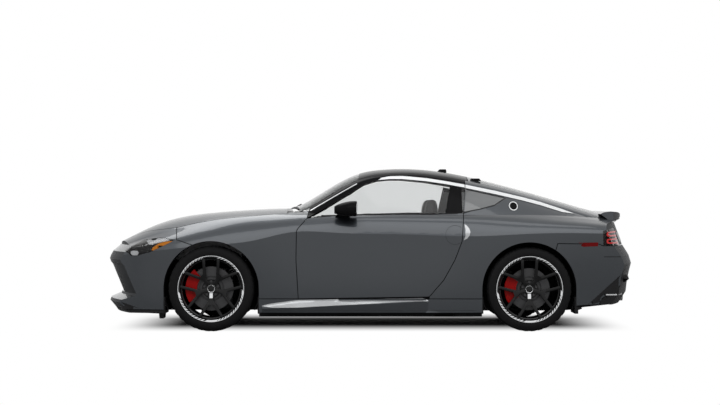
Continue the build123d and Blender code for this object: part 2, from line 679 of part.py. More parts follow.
REAR_BEAM_TOP = 250
SHAFT_R = 24
rear_links = [wishbone(REAR_AXLE_X, ARM_LOW_Z, 130), wishbone(REAR_AXLE_X, ARM_HIGH_Z, 110),
              beam(REAR_AXLE_X, REAR_BEAM_TOP)]
with BuildPart() as rear_subframe:
    add(rear_links)
    with BuildSketch(Plane.XZ):
        with Locations((REAR_AXLE_X, REAR_TYRE["r"])):
            Circle(100)
    extrude(amount=-150)
    with BuildSketch(Plane.XZ):
        with Locations((REAR_AXLE_X, REAR_TYRE["r"])):
            Circle(SHAFT_R)
    extrude(amount=-KING_Y)
    with BuildSketch(Plane.XZ.offset(-KING_Y + 20)):
        with Locations((REAR_AXLE_X, REAR_TYRE["r"])):
            Circle(46)
    extrude(amount=-(DISC_Y - DISC_T / 2 - KING_Y + 20 - FIT))
    with BuildSketch(Plane.XY.offset(ARM_LOW_Z + ARM_T)):
        with Locations((REAR_AXLE_X, KING_Y)):
            Rectangle(90, 46)
    extrude(amount=ARM_HIGH_Z - ARM_LOW_Z - ARM_T)
    with BuildSketch(Plane.XZ.offset(-(KING_Y - 10))):
        with Locations((REAR_AXLE_X + 75, REAR_TYRE["r"])):
            Rectangle(150, 60)
    extrude(amount=-(DISC_Y - CALLIPER_Y - KING_Y + 10))
    mirror(about=Plane.XZ)
save(rear_subframe.part, "rear_subframe")

with BuildPart() as exhaust:
    with BuildSketch(Plane.YZ.offset(TAIL_X + TIP_IN)):
        with Locations((TIP_Y, TIP_Z), (-TIP_Y, TIP_Z)):
            Circle(TIP_R)
            Circle(TIP_R - 6, mode=Mode.SUBTRACT)
    extrude(amount=SILENCER_X - TAIL_X - TIP_IN)
    with BuildSketch(Plane.YZ.offset(SILENCER_X)):
        with Locations((0, TIP_Z)):
            SlotOverall(2 * TIP_Y + 160, 120)
    extrude(amount=180)
    with BuildSketch(Plane.XY.offset(TIP_Z)):
        with Locations((SILENCER_X + 90, TIP_Y), (SILENCER_X + 90, -TIP_Y)):
            Rectangle(30, 40)
    extrude(amount=CARGO_Z - TIP_Z - FIT)
save(exhaust.part, "exhaust")

# ---------------------------------------------------------------- wheels
BEAD_R = 236
BARREL_T = 13
LIP_R = 250


def tyre(axle_x, size):
    """A road tyre turned about its axle."""
    half = size["w"] / 2
    radius = size["r"]
    with BuildPart() as ring:
        with BuildSketch(Plane.XY.offset(radius)):
            with BuildLine():
                shoulder = Polyline((axle_x + BEAD_R, half - 14), (axle_x + LIP_R, half - 8),
                                    (axle_x + LIP_R + 40, half))
                Line((axle_x + BEAD_R, half - 14), (axle_x + BEAD_R, 14 - half))
                Polyline((axle_x + BEAD_R, 14 - half), (axle_x + LIP_R, 8 - half),
                         (axle_x + LIP_R + 40, -half))
                ThreePointArc((axle_x + LIP_R + 40, half), (axle_x + radius - 22, half - 9),
                              (axle_x + radius, half - 32))
                Line((axle_x + radius, half - 32), (axle_x + radius, 32 - half))
                ThreePointArc((axle_x + radius, 32 - half), (axle_x + radius - 22, 9 - half),
                              (axle_x + LIP_R + 40, -half))
            make_face()
        revolve(axis=Axis((axle_x, 0, radius), (0, 1, 0)))
    return Pos(0, size["y"], 0) * ring.part


def rim(axle_x, size):
    """A five twin-spoke wheel: barrel, outer lip, hub and forked spokes."""
    half = size["w"] / 2
    radius = size["r"]
    face = size["y"] + half - 2
    with BuildPart() as wheel:
        with BuildSketch(Plane.XY.offset(radius)):
            with BuildLine():
                Polyline((axle_x + BEAD_R - FIT, size["y"] + 16 - half), (axle_x + BEAD_R - FIT, face - 12),
                         (axle_x + LIP_R, face - 5), (axle_x + LIP_R, face), (axle_x + LIP_R - 16, face),
                         (axle_x + BEAD_R - BARREL_T, face - 22),
                         (axle_x + BEAD_R - BARREL_T, size["y"] + 16 - half), close=True)
            make_face()
        revolve(axis=Axis((axle_x, 0, radius), (0, 1, 0)))
        with BuildSketch(Plane.XZ.offset(-(face - 44))):
            with Locations((axle_x, radius)):
                Circle(HUB_R)
        extrude(amount=-36)
        with BuildSketch(Plane.XZ.offset(-(face - 40))):
            for turn in range(SPOKES):
                for fork in (-1, 1):
                    with BuildLine():
                        Polyline(*[spoke_point(axle_x, radius, r, a * fork + 360 / SPOKES * turn - 90)
                                   for r, a in ((50, -18), (66, 24), (118, 12.5), (228, 27), (228, 20),
                                                (128, 3), (112, -12))], close=True)
                    make_face()
        extrude(amount=-34)
        with BuildSketch(Plane.XZ.offset(-(DISC_Y + DISC_T / 2))):
            with Locations((axle_x, radius)):
                Circle(HUB_R - 6)
        extrude(amount=-(face - 44 - DISC_Y - DISC_T / 2))
    return wheel.part


def spoke_point(axle_x, axle_z, reach, angle):
    """A point of the wheel's face at a radius and an angle in degrees."""
    turn = math.radians(angle)
    return (axle_x + reach * math.cos(turn), axle_z + reach * math.sin(turn))


def brake_disc(axle_x, size, disc_r):
    """A vented disc with its hat, centred in the wheel."""
    with BuildPart() as rotor:
        with BuildSketch(Plane.XZ.offset(-(DISC_Y - DISC_T / 2))):
            with Locations((axle_x, size["r"])):
                Circle(disc_r)
        extrude(amount=-(DISC_T - FIT))
    return rotor.part


def calliper(axle_x, size, disc_r, low_angle, high_angle):
    """A calliper that straddles the disc on the side towards the nose."""
    with BuildPart() as body:
        with BuildSketch(Plane.XZ.offset(-(DISC_Y - CALLIPER_Y))):
            with BuildLine():
                inner, outer = disc_r - 62, disc_r + 30
                middle = (low_angle + high_angle) / 2
                low_in, low_out = (spoke_point(axle_x, size["r"], r, low_angle) for r in (inner, outer))
                high_in, high_out = (spoke_point(axle_x, size["r"], r, high_angle) for r in (inner, outer))
                Line(low_in, low_out)
                ThreePointArc(low_out, spoke_point(axle_x, size["r"], outer, middle), high_out)
                Line(high_out, high_in)
                ThreePointArc(high_in, spoke_point(axle_x, size["r"], inner, middle), low_in)
            make_face()
        extrude(amount=-2 * CALLIPER_Y)
        with BuildSketch(Plane.XZ.offset(-(DISC_Y - DISC_T / 2 - 5))):
            with Locations((axle_x, size["r"])):
                Circle(disc_r + 5)
        extrude(amount=-(DISC_T + 10), mode=Mode.SUBTRACT)
    return body.part


for name, axle_x, size, disc_r in (("front", FRONT_AXLE_X, FRONT_TYRE, FRONT_DISC_R),
                                   ("rear", REAR_AXLE_X, REAR_TYRE, REAR_DISC_R)):
    save_pair(tyre(axle_x, size), f"tyre_{name}")
    save_pair(rim(axle_x, size), f"rim_{name}")
    save_pair(brake_disc(axle_x, size, disc_r), f"disc_{name}")

save_pair(calliper(FRONT_AXLE_X, FRONT_TYRE, FRONT_DISC_R, -32, 48), "calliper_front")
save_both(calliper(REAR_AXLE_X, REAR_TYRE, REAR_DISC_R, -36, 34), "callipers_rear")

with BuildPart() as knuckle:
    with BuildSketch(Plane.XY.offset(ARM_LOW_Z + ARM_T + FIT)):
        with Locations((FRONT_AXLE_X, KING_Y)):
            Rectangle(90, 46)
    extrude(amount=ARM_HIGH_Z - ARM_LOW_Z - ARM_T - 2 * FIT)
    with BuildSketch(Plane.XZ.offset(-KING_Y)):
        with Locations((FRONT_AXLE_X, FRONT_TYRE["r"])):
            Circle(46)
    extrude(amount=-(DISC_Y - DISC_T / 2 - KING_Y - FIT))
    with BuildSketch(Plane.XZ.offset(-(KING_Y - 10))):
        with Locations((FRONT_AXLE_X + 75, FRONT_TYRE["r"] + 20)):
            Rectangle(150, 60)
    extrude(amount=-(DISC_Y - CALLIPER_Y - KING_Y + 10))
save_pair(knuckle.part, "knuckle")

# ---------------------------------------------------------------- cabin
SEAT_Y = 370
SEAT_X = -120
with BuildPart() as seat:
    with BuildSketch(Plane.XZ.offset(-SEAT_Y + 250)):
        with BuildLine():
            Polyline((SEAT_X + 260, FLOOR_TOP), (SEAT_X + 290, 420), (SEAT_X + 240, 455),
                     (SEAT_X - 170, 430), (SEAT_X - 330, 900), (SEAT_X - 350, 1060), (SEAT_X - 430, 1060),
                     (SEAT_X - 440, 880), (SEAT_X - 330, 400), (SEAT_X - 240, FLOOR_TOP), close=True)
        make_face()
    extrude(amount=-500)
    fillet(seat.edges().filter_by(Axis.Y), 18)
save_both(seat.part, "seats")

STEERING_R = 185
STEERING_X = 185
STEERING_Z = 830
STEERING_RAKE = 25
column = Plane(origin=(STEERING_X, SEAT_Y, STEERING_Z), x_dir=(0, 1, 0),
               z_dir=(-math.cos(math.radians(STEERING_RAKE)), 0, math.sin(math.radians(STEERING_RAKE))))
COLUMN_R = 28
DASH_X = 330
with BuildPart() as dashboard:
    with BuildSketch(Plane.XZ.offset(-CABIN_Y + 4)):
        with BuildLine():
            Polyline((FIREWALL_X, 640), (FIREWALL_X, 880), (DASH_X + 120, 890), (DASH_X, 850),
                     (DASH_X - 20, 760), (DASH_X + 60, 640), close=True)
        make_face()
    extrude(amount=2 * CABIN_Y - 8)
    with BuildSketch(column):
        Circle(COLUMN_R + FIT)
    extrude(amount=-300, mode=Mode.SUBTRACT)
save(dashboard.part, "dashboard")

with BuildPart() as console:
    with BuildSketch(Plane.XZ.offset(-110)):
        with BuildLine():
            Polyline((FIREWALL_X, FLOOR_TOP), (FIREWALL_X, 640), (DASH_X + 60, 640), (DASH_X - 80, 520),
                     (-420, 500), (BULKHEAD_X, 470), (BULKHEAD_X, FLOOR_TOP), close=True)
        make_face()
    extrude(amount=220)
save(console.part, "console")

with BuildPart() as steering_wheel:
    with BuildSketch(column):
        Circle(STEERING_R)
        Circle(STEERING_R - 30, mode=Mode.SUBTRACT)
        for turn in (0, 180, 270):
            with Locations(Rot(0, 0, turn)):
                with Locations((STEERING_R / 2, 0)):
                    Rectangle(STEERING_R - 20, 36)
        Circle(56)
    extrude(amount=15, both=True)
    with BuildSketch(column):
        Circle(COLUMN_R)
    extrude(amount=-180)
save(steering_wheel.part, "steering_wheel")

# ---------------------------------------------------------------- trim that carries the look
with BuildPart() as grille:
    add(inner_solid)
    add(deeper_void, mode=Mode.SUBTRACT)
    add(grille_room.part, mode=Mode.INTERSECT)
save(grille.part, "grille")

with BuildPart() as splitter:
    add(body_skin)
    with BuildSketch(Plane.XY):
        with Locations(((FRONT_ARCH_X + 2400) / 2, 0)):
            Rectangle(2400 - FRONT_ARCH_X, 2 * WIDE)
    extrude(amount=SPLITTER_TOP - PANEL_GAP / 2, mode=Mode.INTERSECT)
    add(arches.part, mode=Mode.SUBTRACT)
save(splitter.part, "splitter")

MIRROR_Y = 905
with BuildPart() as mirror_head:
    with BuildSketch(Plane.YZ.offset(112)):
        with Locations((MIRROR_Y + 40, 985)):
            SlotOverall(210, 120)
    with BuildSketch(Plane.YZ.offset(205)):
        with Locations((MIRROR_Y + 30, 982)):
            SlotOverall(190, 110)
    with BuildSketch(Plane.YZ.offset(290)):
        with Locations((MIRROR_Y + 10, 975)):
            SlotOverall(110, 56)
    loft()
    with BuildSketch(Plane.XY.offset(918)):
        with Locations((230, 818)):
            Rectangle(110, 26)
    with BuildSketch(Plane.XY.offset(960)):
        with Locations((205, 850)):
            Rectangle(90, 26)
    loft()
    add(body_solid, mode=Mode.SUBTRACT)
save_pair(mirror_head.part, "mirror")
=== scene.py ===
"""A dark grey two-seat coupe: its finishes and fine pieces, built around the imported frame."""
import math

import bpy
from mathutils import Matrix, Vector
from mathutils.bvhtree import BVHTree


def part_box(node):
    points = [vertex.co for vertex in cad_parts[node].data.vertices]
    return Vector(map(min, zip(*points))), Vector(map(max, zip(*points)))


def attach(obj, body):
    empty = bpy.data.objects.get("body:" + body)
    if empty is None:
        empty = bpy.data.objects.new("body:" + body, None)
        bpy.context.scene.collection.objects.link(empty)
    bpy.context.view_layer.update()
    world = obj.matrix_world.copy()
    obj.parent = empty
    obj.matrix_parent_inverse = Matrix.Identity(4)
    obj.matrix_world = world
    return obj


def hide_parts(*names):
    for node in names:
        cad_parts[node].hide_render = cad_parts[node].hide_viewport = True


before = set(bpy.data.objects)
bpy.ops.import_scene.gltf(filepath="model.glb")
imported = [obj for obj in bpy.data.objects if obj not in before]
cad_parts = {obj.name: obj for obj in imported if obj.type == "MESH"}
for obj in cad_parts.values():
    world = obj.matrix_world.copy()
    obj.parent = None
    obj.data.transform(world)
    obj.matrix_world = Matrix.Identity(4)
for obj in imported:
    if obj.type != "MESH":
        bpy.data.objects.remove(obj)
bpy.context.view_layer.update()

# ------------------------------------------------------------------ places taken from the frame
SIDES = {"left": 1, "right": -1}
tyre_low, tyre_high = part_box("tyre_front_left")
FRONT_HUB = (tyre_low + tyre_high) / 2
tyre_low_rear, tyre_high_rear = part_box("tyre_rear_left")
REAR_HUB = (tyre_low_rear + tyre_high_rear) / 2


# ------------------------------------------------------------------ shader groups and materials
def new_group(name, inputs, outputs):
    """An empty shader node group with float or colour sockets."""
    group = bpy.data.node_groups.new(name, "ShaderNodeTree")
    for label, kind, value in inputs:
        socket = group.interface.new_socket(name=label, in_out="INPUT", socket_type=kind)
        socket.default_value = value
    for label, kind in outputs:
        group.interface.new_socket(name=label, in_out="OUTPUT", socket_type=kind)
    return group, group.nodes.new("NodeGroupInput"), group.nodes.new("NodeGroupOutput")


def make_mottle():
    """Soft variation of a colour and a matching height, at a named scale."""
    group, given, result = new_group(
        "mottle",
        [("Scale", "NodeSocketFloat", 30.0), ("Dark", "NodeSocketColor", (0.1, 0.1, 0.1, 1)),
         ("Light", "NodeSocketColor", (0.2, 0.2, 0.2, 1)), ("Smooth", "NodeSocketFloat", 0.3),
         ("Rough", "NodeSocketFloat", 0.5)],
        [("Color", "NodeSocketColor"), ("Roughness", "NodeSocketFloat"), ("Height", "NodeSocketFloat")])
    place = group.nodes.new("ShaderNodeTexCoord")
    noise = group.nodes.new("ShaderNodeTexNoise")
    noise.inputs["Detail"].default_value = 6
    tint = group.nodes.new("ShaderNodeMix")
    tint.data_type = "RGBA"
    sheen = group.nodes.new("ShaderNodeMapRange")
    links = group.links
    links.new(place.outputs["Object"], noise.inputs["Vector"])
    links.new(given.outputs["Scale"], noise.inputs["Scale"])
    links.new(noise.outputs["Fac"], tint.inputs["Factor"])
    links.new(given.outputs["Dark"], tint.inputs[6])
    links.new(given.outputs["Light"], tint.inputs[7])
    links.new(noise.outputs["Fac"], sheen.inputs["Value"])
    links.new(given.outputs["Smooth"], sheen.inputs["To Min"])
    links.new(given.outputs["Rough"], sheen.inputs["To Max"])
    links.new(tint.outputs[2], result.inputs["Color"])
    links.new(sheen.outputs["Result"], result.inputs["Roughness"])
    links.new(noise.outputs["Fac"], result.inputs["Height"])
    return group


MOTTLE = make_mottle()


def finish_of(name, dark, light, smooth, rough, scale, bump=0.0, bump_depth=0.0004, **sockets):
    """A Principled material whose colour and roughness vary softly, with an optional fine bump."""
    material = bpy.data.materials.new(name)
    material.use_nodes = True
    tree = material.node_tree
    shader = tree.nodes["Principled BSDF"]
    group = tree.nodes.new("ShaderNodeGroup")
    group.node_tree = MOTTLE
    group.inputs["Scale"].default_value = scale
    group.inputs["Dark"].default_value = (*dark, 1)
    group.inputs["Light"].default_value = (*light, 1)
    group.inputs["Smooth"].default_value = smooth
    group.inputs["Rough"].default_value = rough
    tree.links.new(group.outputs["Color"], shader.inputs["Base Color"])
    tree.links.new(group.outputs["Roughness"], shader.inputs["Roughness"])
    if bump:
        relief = tree.nodes.new("ShaderNodeBump")
        relief.inputs["Strength"].default_value = bump
        relief.inputs["Distance"].default_value = bump_depth
        tree.links.new(group.outputs["Height"], relief.inputs["Height"])
        tree.links.new(relief.outputs["Normal"], shader.inputs["Normal"])
    for socket, value in sockets.items():
        shader.inputs[socket.replace("_", " ")].default_value = value
    return material


PAINT = finish_of("dark_grey_metallic", (0.036, 0.041, 0.047), (0.046, 0.052, 0.060), 0.30, 0.38, 900,
                  0.05, 0.0001, Metallic=0.7, Coat_Weight=0.6, Coat_Roughness=0.04)
# painted shade: a copy of the body paint with no coat and a dark reflection tint, for the end faces that look
# forwards or back
SHADED_END_PAINT = finish_of("dark_grey_metallic_painted_shade", (0.050, 0.056, 0.063), (0.062, 0.069, 0.077), 0.30, 0.38,
                       900, 0.05, 0.0001, Metallic=0.7, Specular_Tint=(0.1, 0.1, 0.1, 1))
# painted highlight: a light grey that stands for the light caught by the sill blade's facets and the door
# handle
HIGHLIGHT_GREY_PAINT = finish_of("painted_highlight_grey", (0.36, 0.37, 0.38), (0.42, 0.43, 0.44), 0.2, 0.28, 900,
                        0.05, 0.0001, Metallic=0.5, Coat_Weight=0.5)
GLOSS_BLACK = finish_of("gloss_black_panel", (0.005, 0.005, 0.0055), (0.008, 0.008, 0.0085), 0.16, 0.22, 60,
                        Specular_IOR_Level=0.03)
SILVER = finish_of("satin_silver_trim", (0.74, 0.75, 0.76), (0.82, 0.83, 0.84), 0.3, 0.38, 400, Metallic=0.25)
BLACK_PLASTIC = finish_of("grained_black_plastic", (0.014, 0.014, 0.015), (0.024, 0.024, 0.025), 0.5, 0.62,
                          1400, 0.35, 0.0003, Specular_IOR_Level=0.12)
PRIMER = finish_of("black_primer", (0.008, 0.008, 0.009), (0.016, 0.016, 0.017), 0.6, 0.8, 90,
                   Specular_IOR_Level=0.1)
RUBBER = finish_of("tyre_rubber", (0.007, 0.007, 0.0075), (0.012, 0.012, 0.0125), 0.62, 0.8, 260, 0.3, 0.0004,
                   Specular_IOR_Level=0.1)
WHEEL_BLACK = finish_of("gloss_black_wheel", (0.003, 0.003, 0.0034), (0.006, 0.006, 0.0066), 0.2, 0.28, 120,
                        Specular_IOR_Level=0.2, Coat_Weight=0.1, Coat_Roughness=0.06)
MACHINED = finish_of("machined_alloy", (0.66, 0.67, 0.68), (0.78, 0.79, 0.80), 0.18, 0.3, 500, 0.1, 0.0001,
                     Metallic=1.0)
IRON = finish_of("turned_iron", (0.045, 0.045, 0.047), (0.07, 0.07, 0.072), 0.4, 0.52, 160, 0.1, 0.0003,
                 Metallic=0.7)
CALLIPER_RED = finish_of("calliper_red", (0.30, 0.003, 0.003), (0.38, 0.005, 0.004), 0.28, 0.36, 120,
                         Specular_IOR_Level=0.1)
AXLE_STEEL = finish_of("dark_axle_steel", (0.035, 0.035, 0.037), (0.06, 0.06, 0.062), 0.5, 0.68, 60, 0.3,
                       0.0006, Metallic=0.6)
ALLOY = finish_of("cast_alloy", (0.28, 0.28, 0.29), (0.38, 0.38, 0.39), 0.45, 0.6, 120, 0.4, 0.0006,
                  Metallic=0.8)
LEATHER = finish_of("black_leather", (0.018, 0.017, 0.017), (0.032, 0.030, 0.030), 0.42, 0.56, 480, 0.4,
                    0.0005)
TRIM = finish_of("cabin_trim", (0.020, 0.020, 0.021), (0.030, 0.030, 0.031), 0.55, 0.7, 900, 0.3, 0.0003)
LED_WHITE = finish_of("lamp_light_bar", (0.34, 0.35, 0.36), (0.52, 0.53, 0.54), 0.2, 0.3, 200)
AMBER = finish_of("amber_reflector", (0.42, 0.13, 0.008), (0.50, 0.17, 0.012), 0.2, 0.3, 300,
                  Specular_IOR_Level=0.15)
MARKER_RED = finish_of("red_marker", (0.14, 0.002, 0.003), (0.19, 0.004, 0.005), 0.2, 0.3, 300,
                       Specular_IOR_Level=0.1)
GLOW_RED = finish_of("red_light_bar", (0.62, 0.03, 0.03), (0.74, 0.06, 0.06), 0.2, 0.3, 200,
                     Specular_IOR_Level=0.15)
MIRROR_GLASS = finish_of("mirror_glass", (0.72, 0.74, 0.76), (0.76, 0.78, 0.80), 0.02, 0.04, 20, Metallic=1.0)
POLISHED = finish_of("polished_steel", (0.60, 0.60, 0.61), (0.70, 0.70, 0.71), 0.08, 0.16, 60, Metallic=1.0)


def clear_of(name, colour, roughness, bending=1.3, **sockets):
    """A see-through material that bends light a little and has a faint veil in its roughness."""
    material = finish_of(name, colour, colour, roughness, roughness + 0.01, 3, **sockets)
    shader = material.node_tree.nodes["Principled BSDF"]
    shader.inputs["Transmission Weight"].default_value = 1.0
    shader.inputs["IOR"].default_value = bending
    return material


GLASS = clear_of("window_glass", (0.80, 0.81, 0.81), 0.0)
# painted shade: the windscreen and hatch glass are darkened to grey, where the real glass is clear
SHADED_SCREEN_GLASS = clear_of("screen_glass_painted_shade", (0.36, 0.37, 0.37), 0.0, 1.12, Specular_IOR_Level=0.05)
QUARTER_GLASS = finish_of("tinted_quarter_glass", (0.30, 0.31, 0.315), (0.34, 0.35, 0.355), 0.02, 0.04, 3,
                          Transmission_Weight=0.55)
LAMP_CLEAR = clear_of("lamp_cover", (0.97, 0.97, 0.98), 0.0)
LAMP_RED = clear_of("red_lamp_cover", (0.55, 0.010, 0.012), 0.03)

# finish, body and slot of the trim that many pieces share
PLASTIC_TRIM = (BLACK_PLASTIC, "chassis", "dark_plastic")
BLACK_TRIM = (GLOSS_BLACK, "chassis", "black_paint")
SILVER_TRIM = (SILVER, "chassis", "blade")
CABIN_LEATHER = (LEATHER, "chassis", "cabin_trim")
CABIN_PLASTIC = (BLACK_PLASTIC, "chassis", "cabin_trim")
CABIN_BLACK = (GLOSS_BLACK, "chassis", "cabin_trim")


def dress(nodes, material):
    """Give CAD nodes a finish."""
    for name in nodes:
        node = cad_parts[name]
        node.data.materials.clear()
        node.data.materials.append(material)


# faces past END_START that look forwards or back, by their normal's x and z, take a painted shade: a copy of
# the paint with a dark reflection tint
END_START = 1.8
END_LOOK_X = 0.4
END_LOOK_Z = 0.75
dress(["bonnet", "front_fenders", "front_bumper", "door_left", "door_right", "quarter_panels", "hatch",
       "rear_bumper", "sills"], PAINT)
for name in ("front_bumper", "rear_bumper", "quarter_panels", "hatch"):
    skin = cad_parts[name].data
    skin.materials.append(SHADED_END_PAINT)
    for face in skin.polygons:
        at_end = abs(face.center.x) > END_START
        if at_end and abs(face.normal.x) > END_LOOK_X and abs(face.normal.z) < END_LOOK_Z:
            face.material_index = 1
dress(["roof", "roof_rails", "mirror_left", "mirror_right"], GLOSS_BLACK)
dress(["windscreen", "hatch_glass"], SHADED_SCREEN_GLASS)
dress(["door_glass_left", "door_glass_right"], GLASS)
dress(["quarter_glass"], QUARTER_GLASS)
dress(["headlamps"], LAMP_CLEAR)
dress(["tail_lamps"], LAMP_RED)
dress(["grille", "splitter", "diffuser", "undertray"], BLACK_PLASTIC)
dress(["unibody", "firewall", "cargo_floor", "wheelhouses"], PRIMER)
WHEELS = [(end, side) for end in ("front", "rear") for side in SIDES]
dress([f"tyre_{end}_{side}" for end, side in WHEELS], RUBBER)
dress([f"rim_{end}_{side}" for end, side in WHEELS], WHEEL_BLACK)
dress([f"disc_{end}_{side}" for end, side in WHEELS], IRON)
dress(["calliper_front_left", "calliper_front_right", "callipers_rear"], CALLIPER_RED)
dress(["front_subframe", "rear_subframe", "knuckle_left", "knuckle_right"], AXLE_STEEL)
dress(["engine"], ALLOY)
dress(["exhaust"], POLISHED)
dress(["seats", "dashboard", "console", "steering_wheel"], LEATHER)
dress(["roof_blades"], SILVER)


# ------------------------------------------------------------------ ways of making a piece
def alone(piece):
    """Select one piece and nothing else."""
    bpy.ops.object.select_all(action="DESELECT")
    piece.select_set(True)
    bpy.context.view_layer.objects.active = piece


def start(adder, **settings):
    """Add a primitive with nothing else selected."""
    bpy.ops.object.select_all(action="DESELECT")
    adder(**settings)
    return bpy.context.object


def in_edit(piece, work):
    """Do some work on a piece in edit mode, with all of it selected first."""
    alone(piece)
    bpy.ops.object.mode_set(mode="EDIT")
    bpy.ops.mesh.select_all(action="SELECT")
    work()
    bpy.ops.object.mode_set(mode="OBJECT")


def close_seams():
    bpy.ops.mesh.select_all(action="SELECT")
    bpy.ops.mesh.remove_doubles(threshold=0.00001)
    bpy.ops.mesh.normals_make_consistent(inside=False)


def finish_with(piece, kind, **settings):
    """Put one modifier on a piece and apply it."""
    alone(piece)
    modifier = piece.modifiers.new(kind.lower(), kind)
    for key, value in settings.items():
        setattr(modifier, key, value)
    bpy.ops.object.modifier_apply(modifier=modifier.name)


def settle(piece, name, material, body, slot, angle=35):
    """Close, smooth, name and dress a piece, and hang it on its body."""
    in_edit(piece, close_seams)
    bpy.ops.object.shade_smooth_by_angle(angle=math.radians(angle))
    piece.name = piece.data.name = name
    if material:
        piece.data.materials.clear()
        piece.data.materials.append(material)
    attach(piece, body)
    return piece


def joined(pieces):
    """Join pieces into the first one."""
    bpy.ops.object.select_all(action="DESELECT")
    for piece in pieces:
        piece.select_set(True)
    bpy.context.view_layer.objects.active = pieces[0]
    bpy.ops.object.join()
    return pieces[0]


def copy_of(piece, matrix):
    """Another object with its own mesh, moved by a matrix."""
    other = bpy.data.objects.new(piece.name, piece.data.copy())
    bpy.context.scene.collection.objects.link(other)
    other.data.transform(matrix)
    return other


def outlined(points, fill="NGON"):
    """A face, or a ring of edges, with its corners at the given places."""
    piece = start(bpy.ops.mesh.primitive_circle_add, vertices=len(points), fill_type=fill)
    for vert, point in zip(piece.data.vertices, points):
        vert.co = point
    return piece


def skin_of(*names):
    """A tree of CAD faces to lay thin pieces on."""
    verts, faces = [], []
    for name in names:
        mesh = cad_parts[name].data
        first = len(verts)
        verts += [vert.co.copy() for vert in mesh.vertices]
        faces += [[first + index for index in face.vertices] for face in mesh.polygons]
    return BVHTree.FromPolygons(verts, faces)


def plate(name, outline, skin, axis, side, thick, material, body, slot, start_at=3.0, step=0.03, depth=0.0):
    """A thin plate of a drawn outline, laid on a surface along one axis; outline points in millimetres."""
    flat = [index for index in range(3) if index != axis]
    corners = []
    for point in outline:
        corner = [0.0, 0.0, 0.0]
        corner[flat[0]], corner[flat[1]] = point[0] / 1000, point[1] / 1000
        corners.append(corner)
    piece = outlined(corners)

    def slice_up():
        for index in flat:
            low = min(corner[index] for corner in corners)
            high = max(corner[index] for corner in corners)
            normal = [float(other == index) for other in range(3)]
            for cut in range(1, int((high - low) / step) + 1):
                bpy.ops.mesh.select_all(action="SELECT")
                place = [normal[other] * (low + cut * step) for other in range(3)]
                bpy.ops.mesh.bisect(plane_co=place, plane_no=normal)

    in_edit(piece, slice_up)
    toward = Vector([-float(other == axis) * side for other in range(3)])
    if start_at < 1:
        toward = -toward
    for vert in piece.data.vertices:
        origin = vert.co.copy()
        origin[axis] = side * start_at
        hit = skin.ray_cast(origin, toward)[0]
        if hit is None:
            origin[axis] = side * 0.8
            hit = skin.find_nearest(origin)[0]
        vert.co[axis] = hit[axis] + depth * toward[axis]
    piece.data.update()
    if sum((face.normal * face.area for face in piece.data.polygons), Vector()).dot(toward) > 0:
        in_edit(piece, bpy.ops.mesh.flip_normals)
    finish_with(piece, "SOLIDIFY", thickness=thick, offset=1.0)
    return settle(piece, name, material, body, slot)


def band(points, width):
    """The outline of a strip that follows a line."""
    half = width / 2
    upper, lower = [], []
    for index, (a, b) in enumerate(points):
        before = points[max(index - 1, 0)]
        after = points[min(index + 1, len(points) - 1)]
        run, rise = after[0] - before[0], after[1] - before[1]
        length = math.hypot(run, rise)
        upper.append((a - half * rise / length, b + half * run / length))
        lower.append((a + half * rise / length, b - half * run / length))
    return upper + lower[::-1]


def arc_band(centre, radius, width, low, high, count=40):
    """The outline of a strip along an arc, in degrees."""
    turns = [math.radians(low + (high - low) * index / count) for index in range(count + 1)]
    return band([(centre[0] + radius * math.cos(turn), centre[1] + radius * math.sin(turn))
                 for turn in turns], width)


def spot(centre, radius, count=32):
    """The outline of a round spot."""
    turns = [index * math.pi / (count / 2) for index in range(count)]
    return [(centre[0] + radius * math.cos(turn), centre[1] + radius * math.sin(turn)) for turn in turns]


# ------------------------------------------------------------------ wheels
WHEEL_STEPS = 240
HATCHED = [(14, 60), (104, 168), (192, 256), (300, 346)]
SPOKE = [(30, -15), (88, -16), (221, -102), (236, -84), (108, 0), (236, 84), (221, 102), (88, 16), (30, 15)]
NUT_CIRCLE = 0.057


def turned(profile, steps=96):
    """A shape turned about the axle from a closed profile of (radius, y)."""
    piece = outlined([(radius, y, 0) for radius, y in profile], "NOTHING")

    def turn():
        bpy.ops.mesh.spin(steps=steps, angle=2 * math.pi, center=(0, 0, 0), axis=(0, 1, 0))
        close_seams()

    in_edit(piece, turn)
    return piece


def clock(place):
    """Degrees clockwise from the top, seen from the car's left."""
    return math.degrees(math.atan2(-place.x, place.z)) % 360


def make_spokes():
    """Five forked spokes, dished towards the hub and with eased edges."""
    spoke = outlined([(across / 1000, 0, -along / 1000) for along, across in SPOKE])

    def deepen():
        for cut in range(1, 9):
            bpy.ops.mesh.select_all(action="SELECT")
            bpy.ops.mesh.bisect(plane_co=(0, 0, -0.03 - 0.025 * cut), plane_no=(0, 0, 1))
        bpy.ops.mesh.select_all(action="SELECT")
        bpy.ops.mesh.extrude_region_move(TRANSFORM_OT_translate={"value": (0, -0.03, 0)})

    in_edit(spoke, deepen)
    for vert in spoke.data.vertices:
        reach = math.hypot(vert.co.x, vert.co.z)
        vert.co.y += -0.004 - 0.036 * (1 - min(reach / 0.24, 1)) ** 1.3
    in_edit(spoke, close_seams)
    finish_with(spoke, "BEVEL", width=0.003, segments=2, limit_method="ANGLE")
    spoke.data.materials.append(WHEEL_BLACK)
    copies = [copy_of(spoke, Matrix.Rotation(math.radians(72 * turn), 4, "Y")) for turn in range(1, 5)]
    return joined([spoke] + copies)


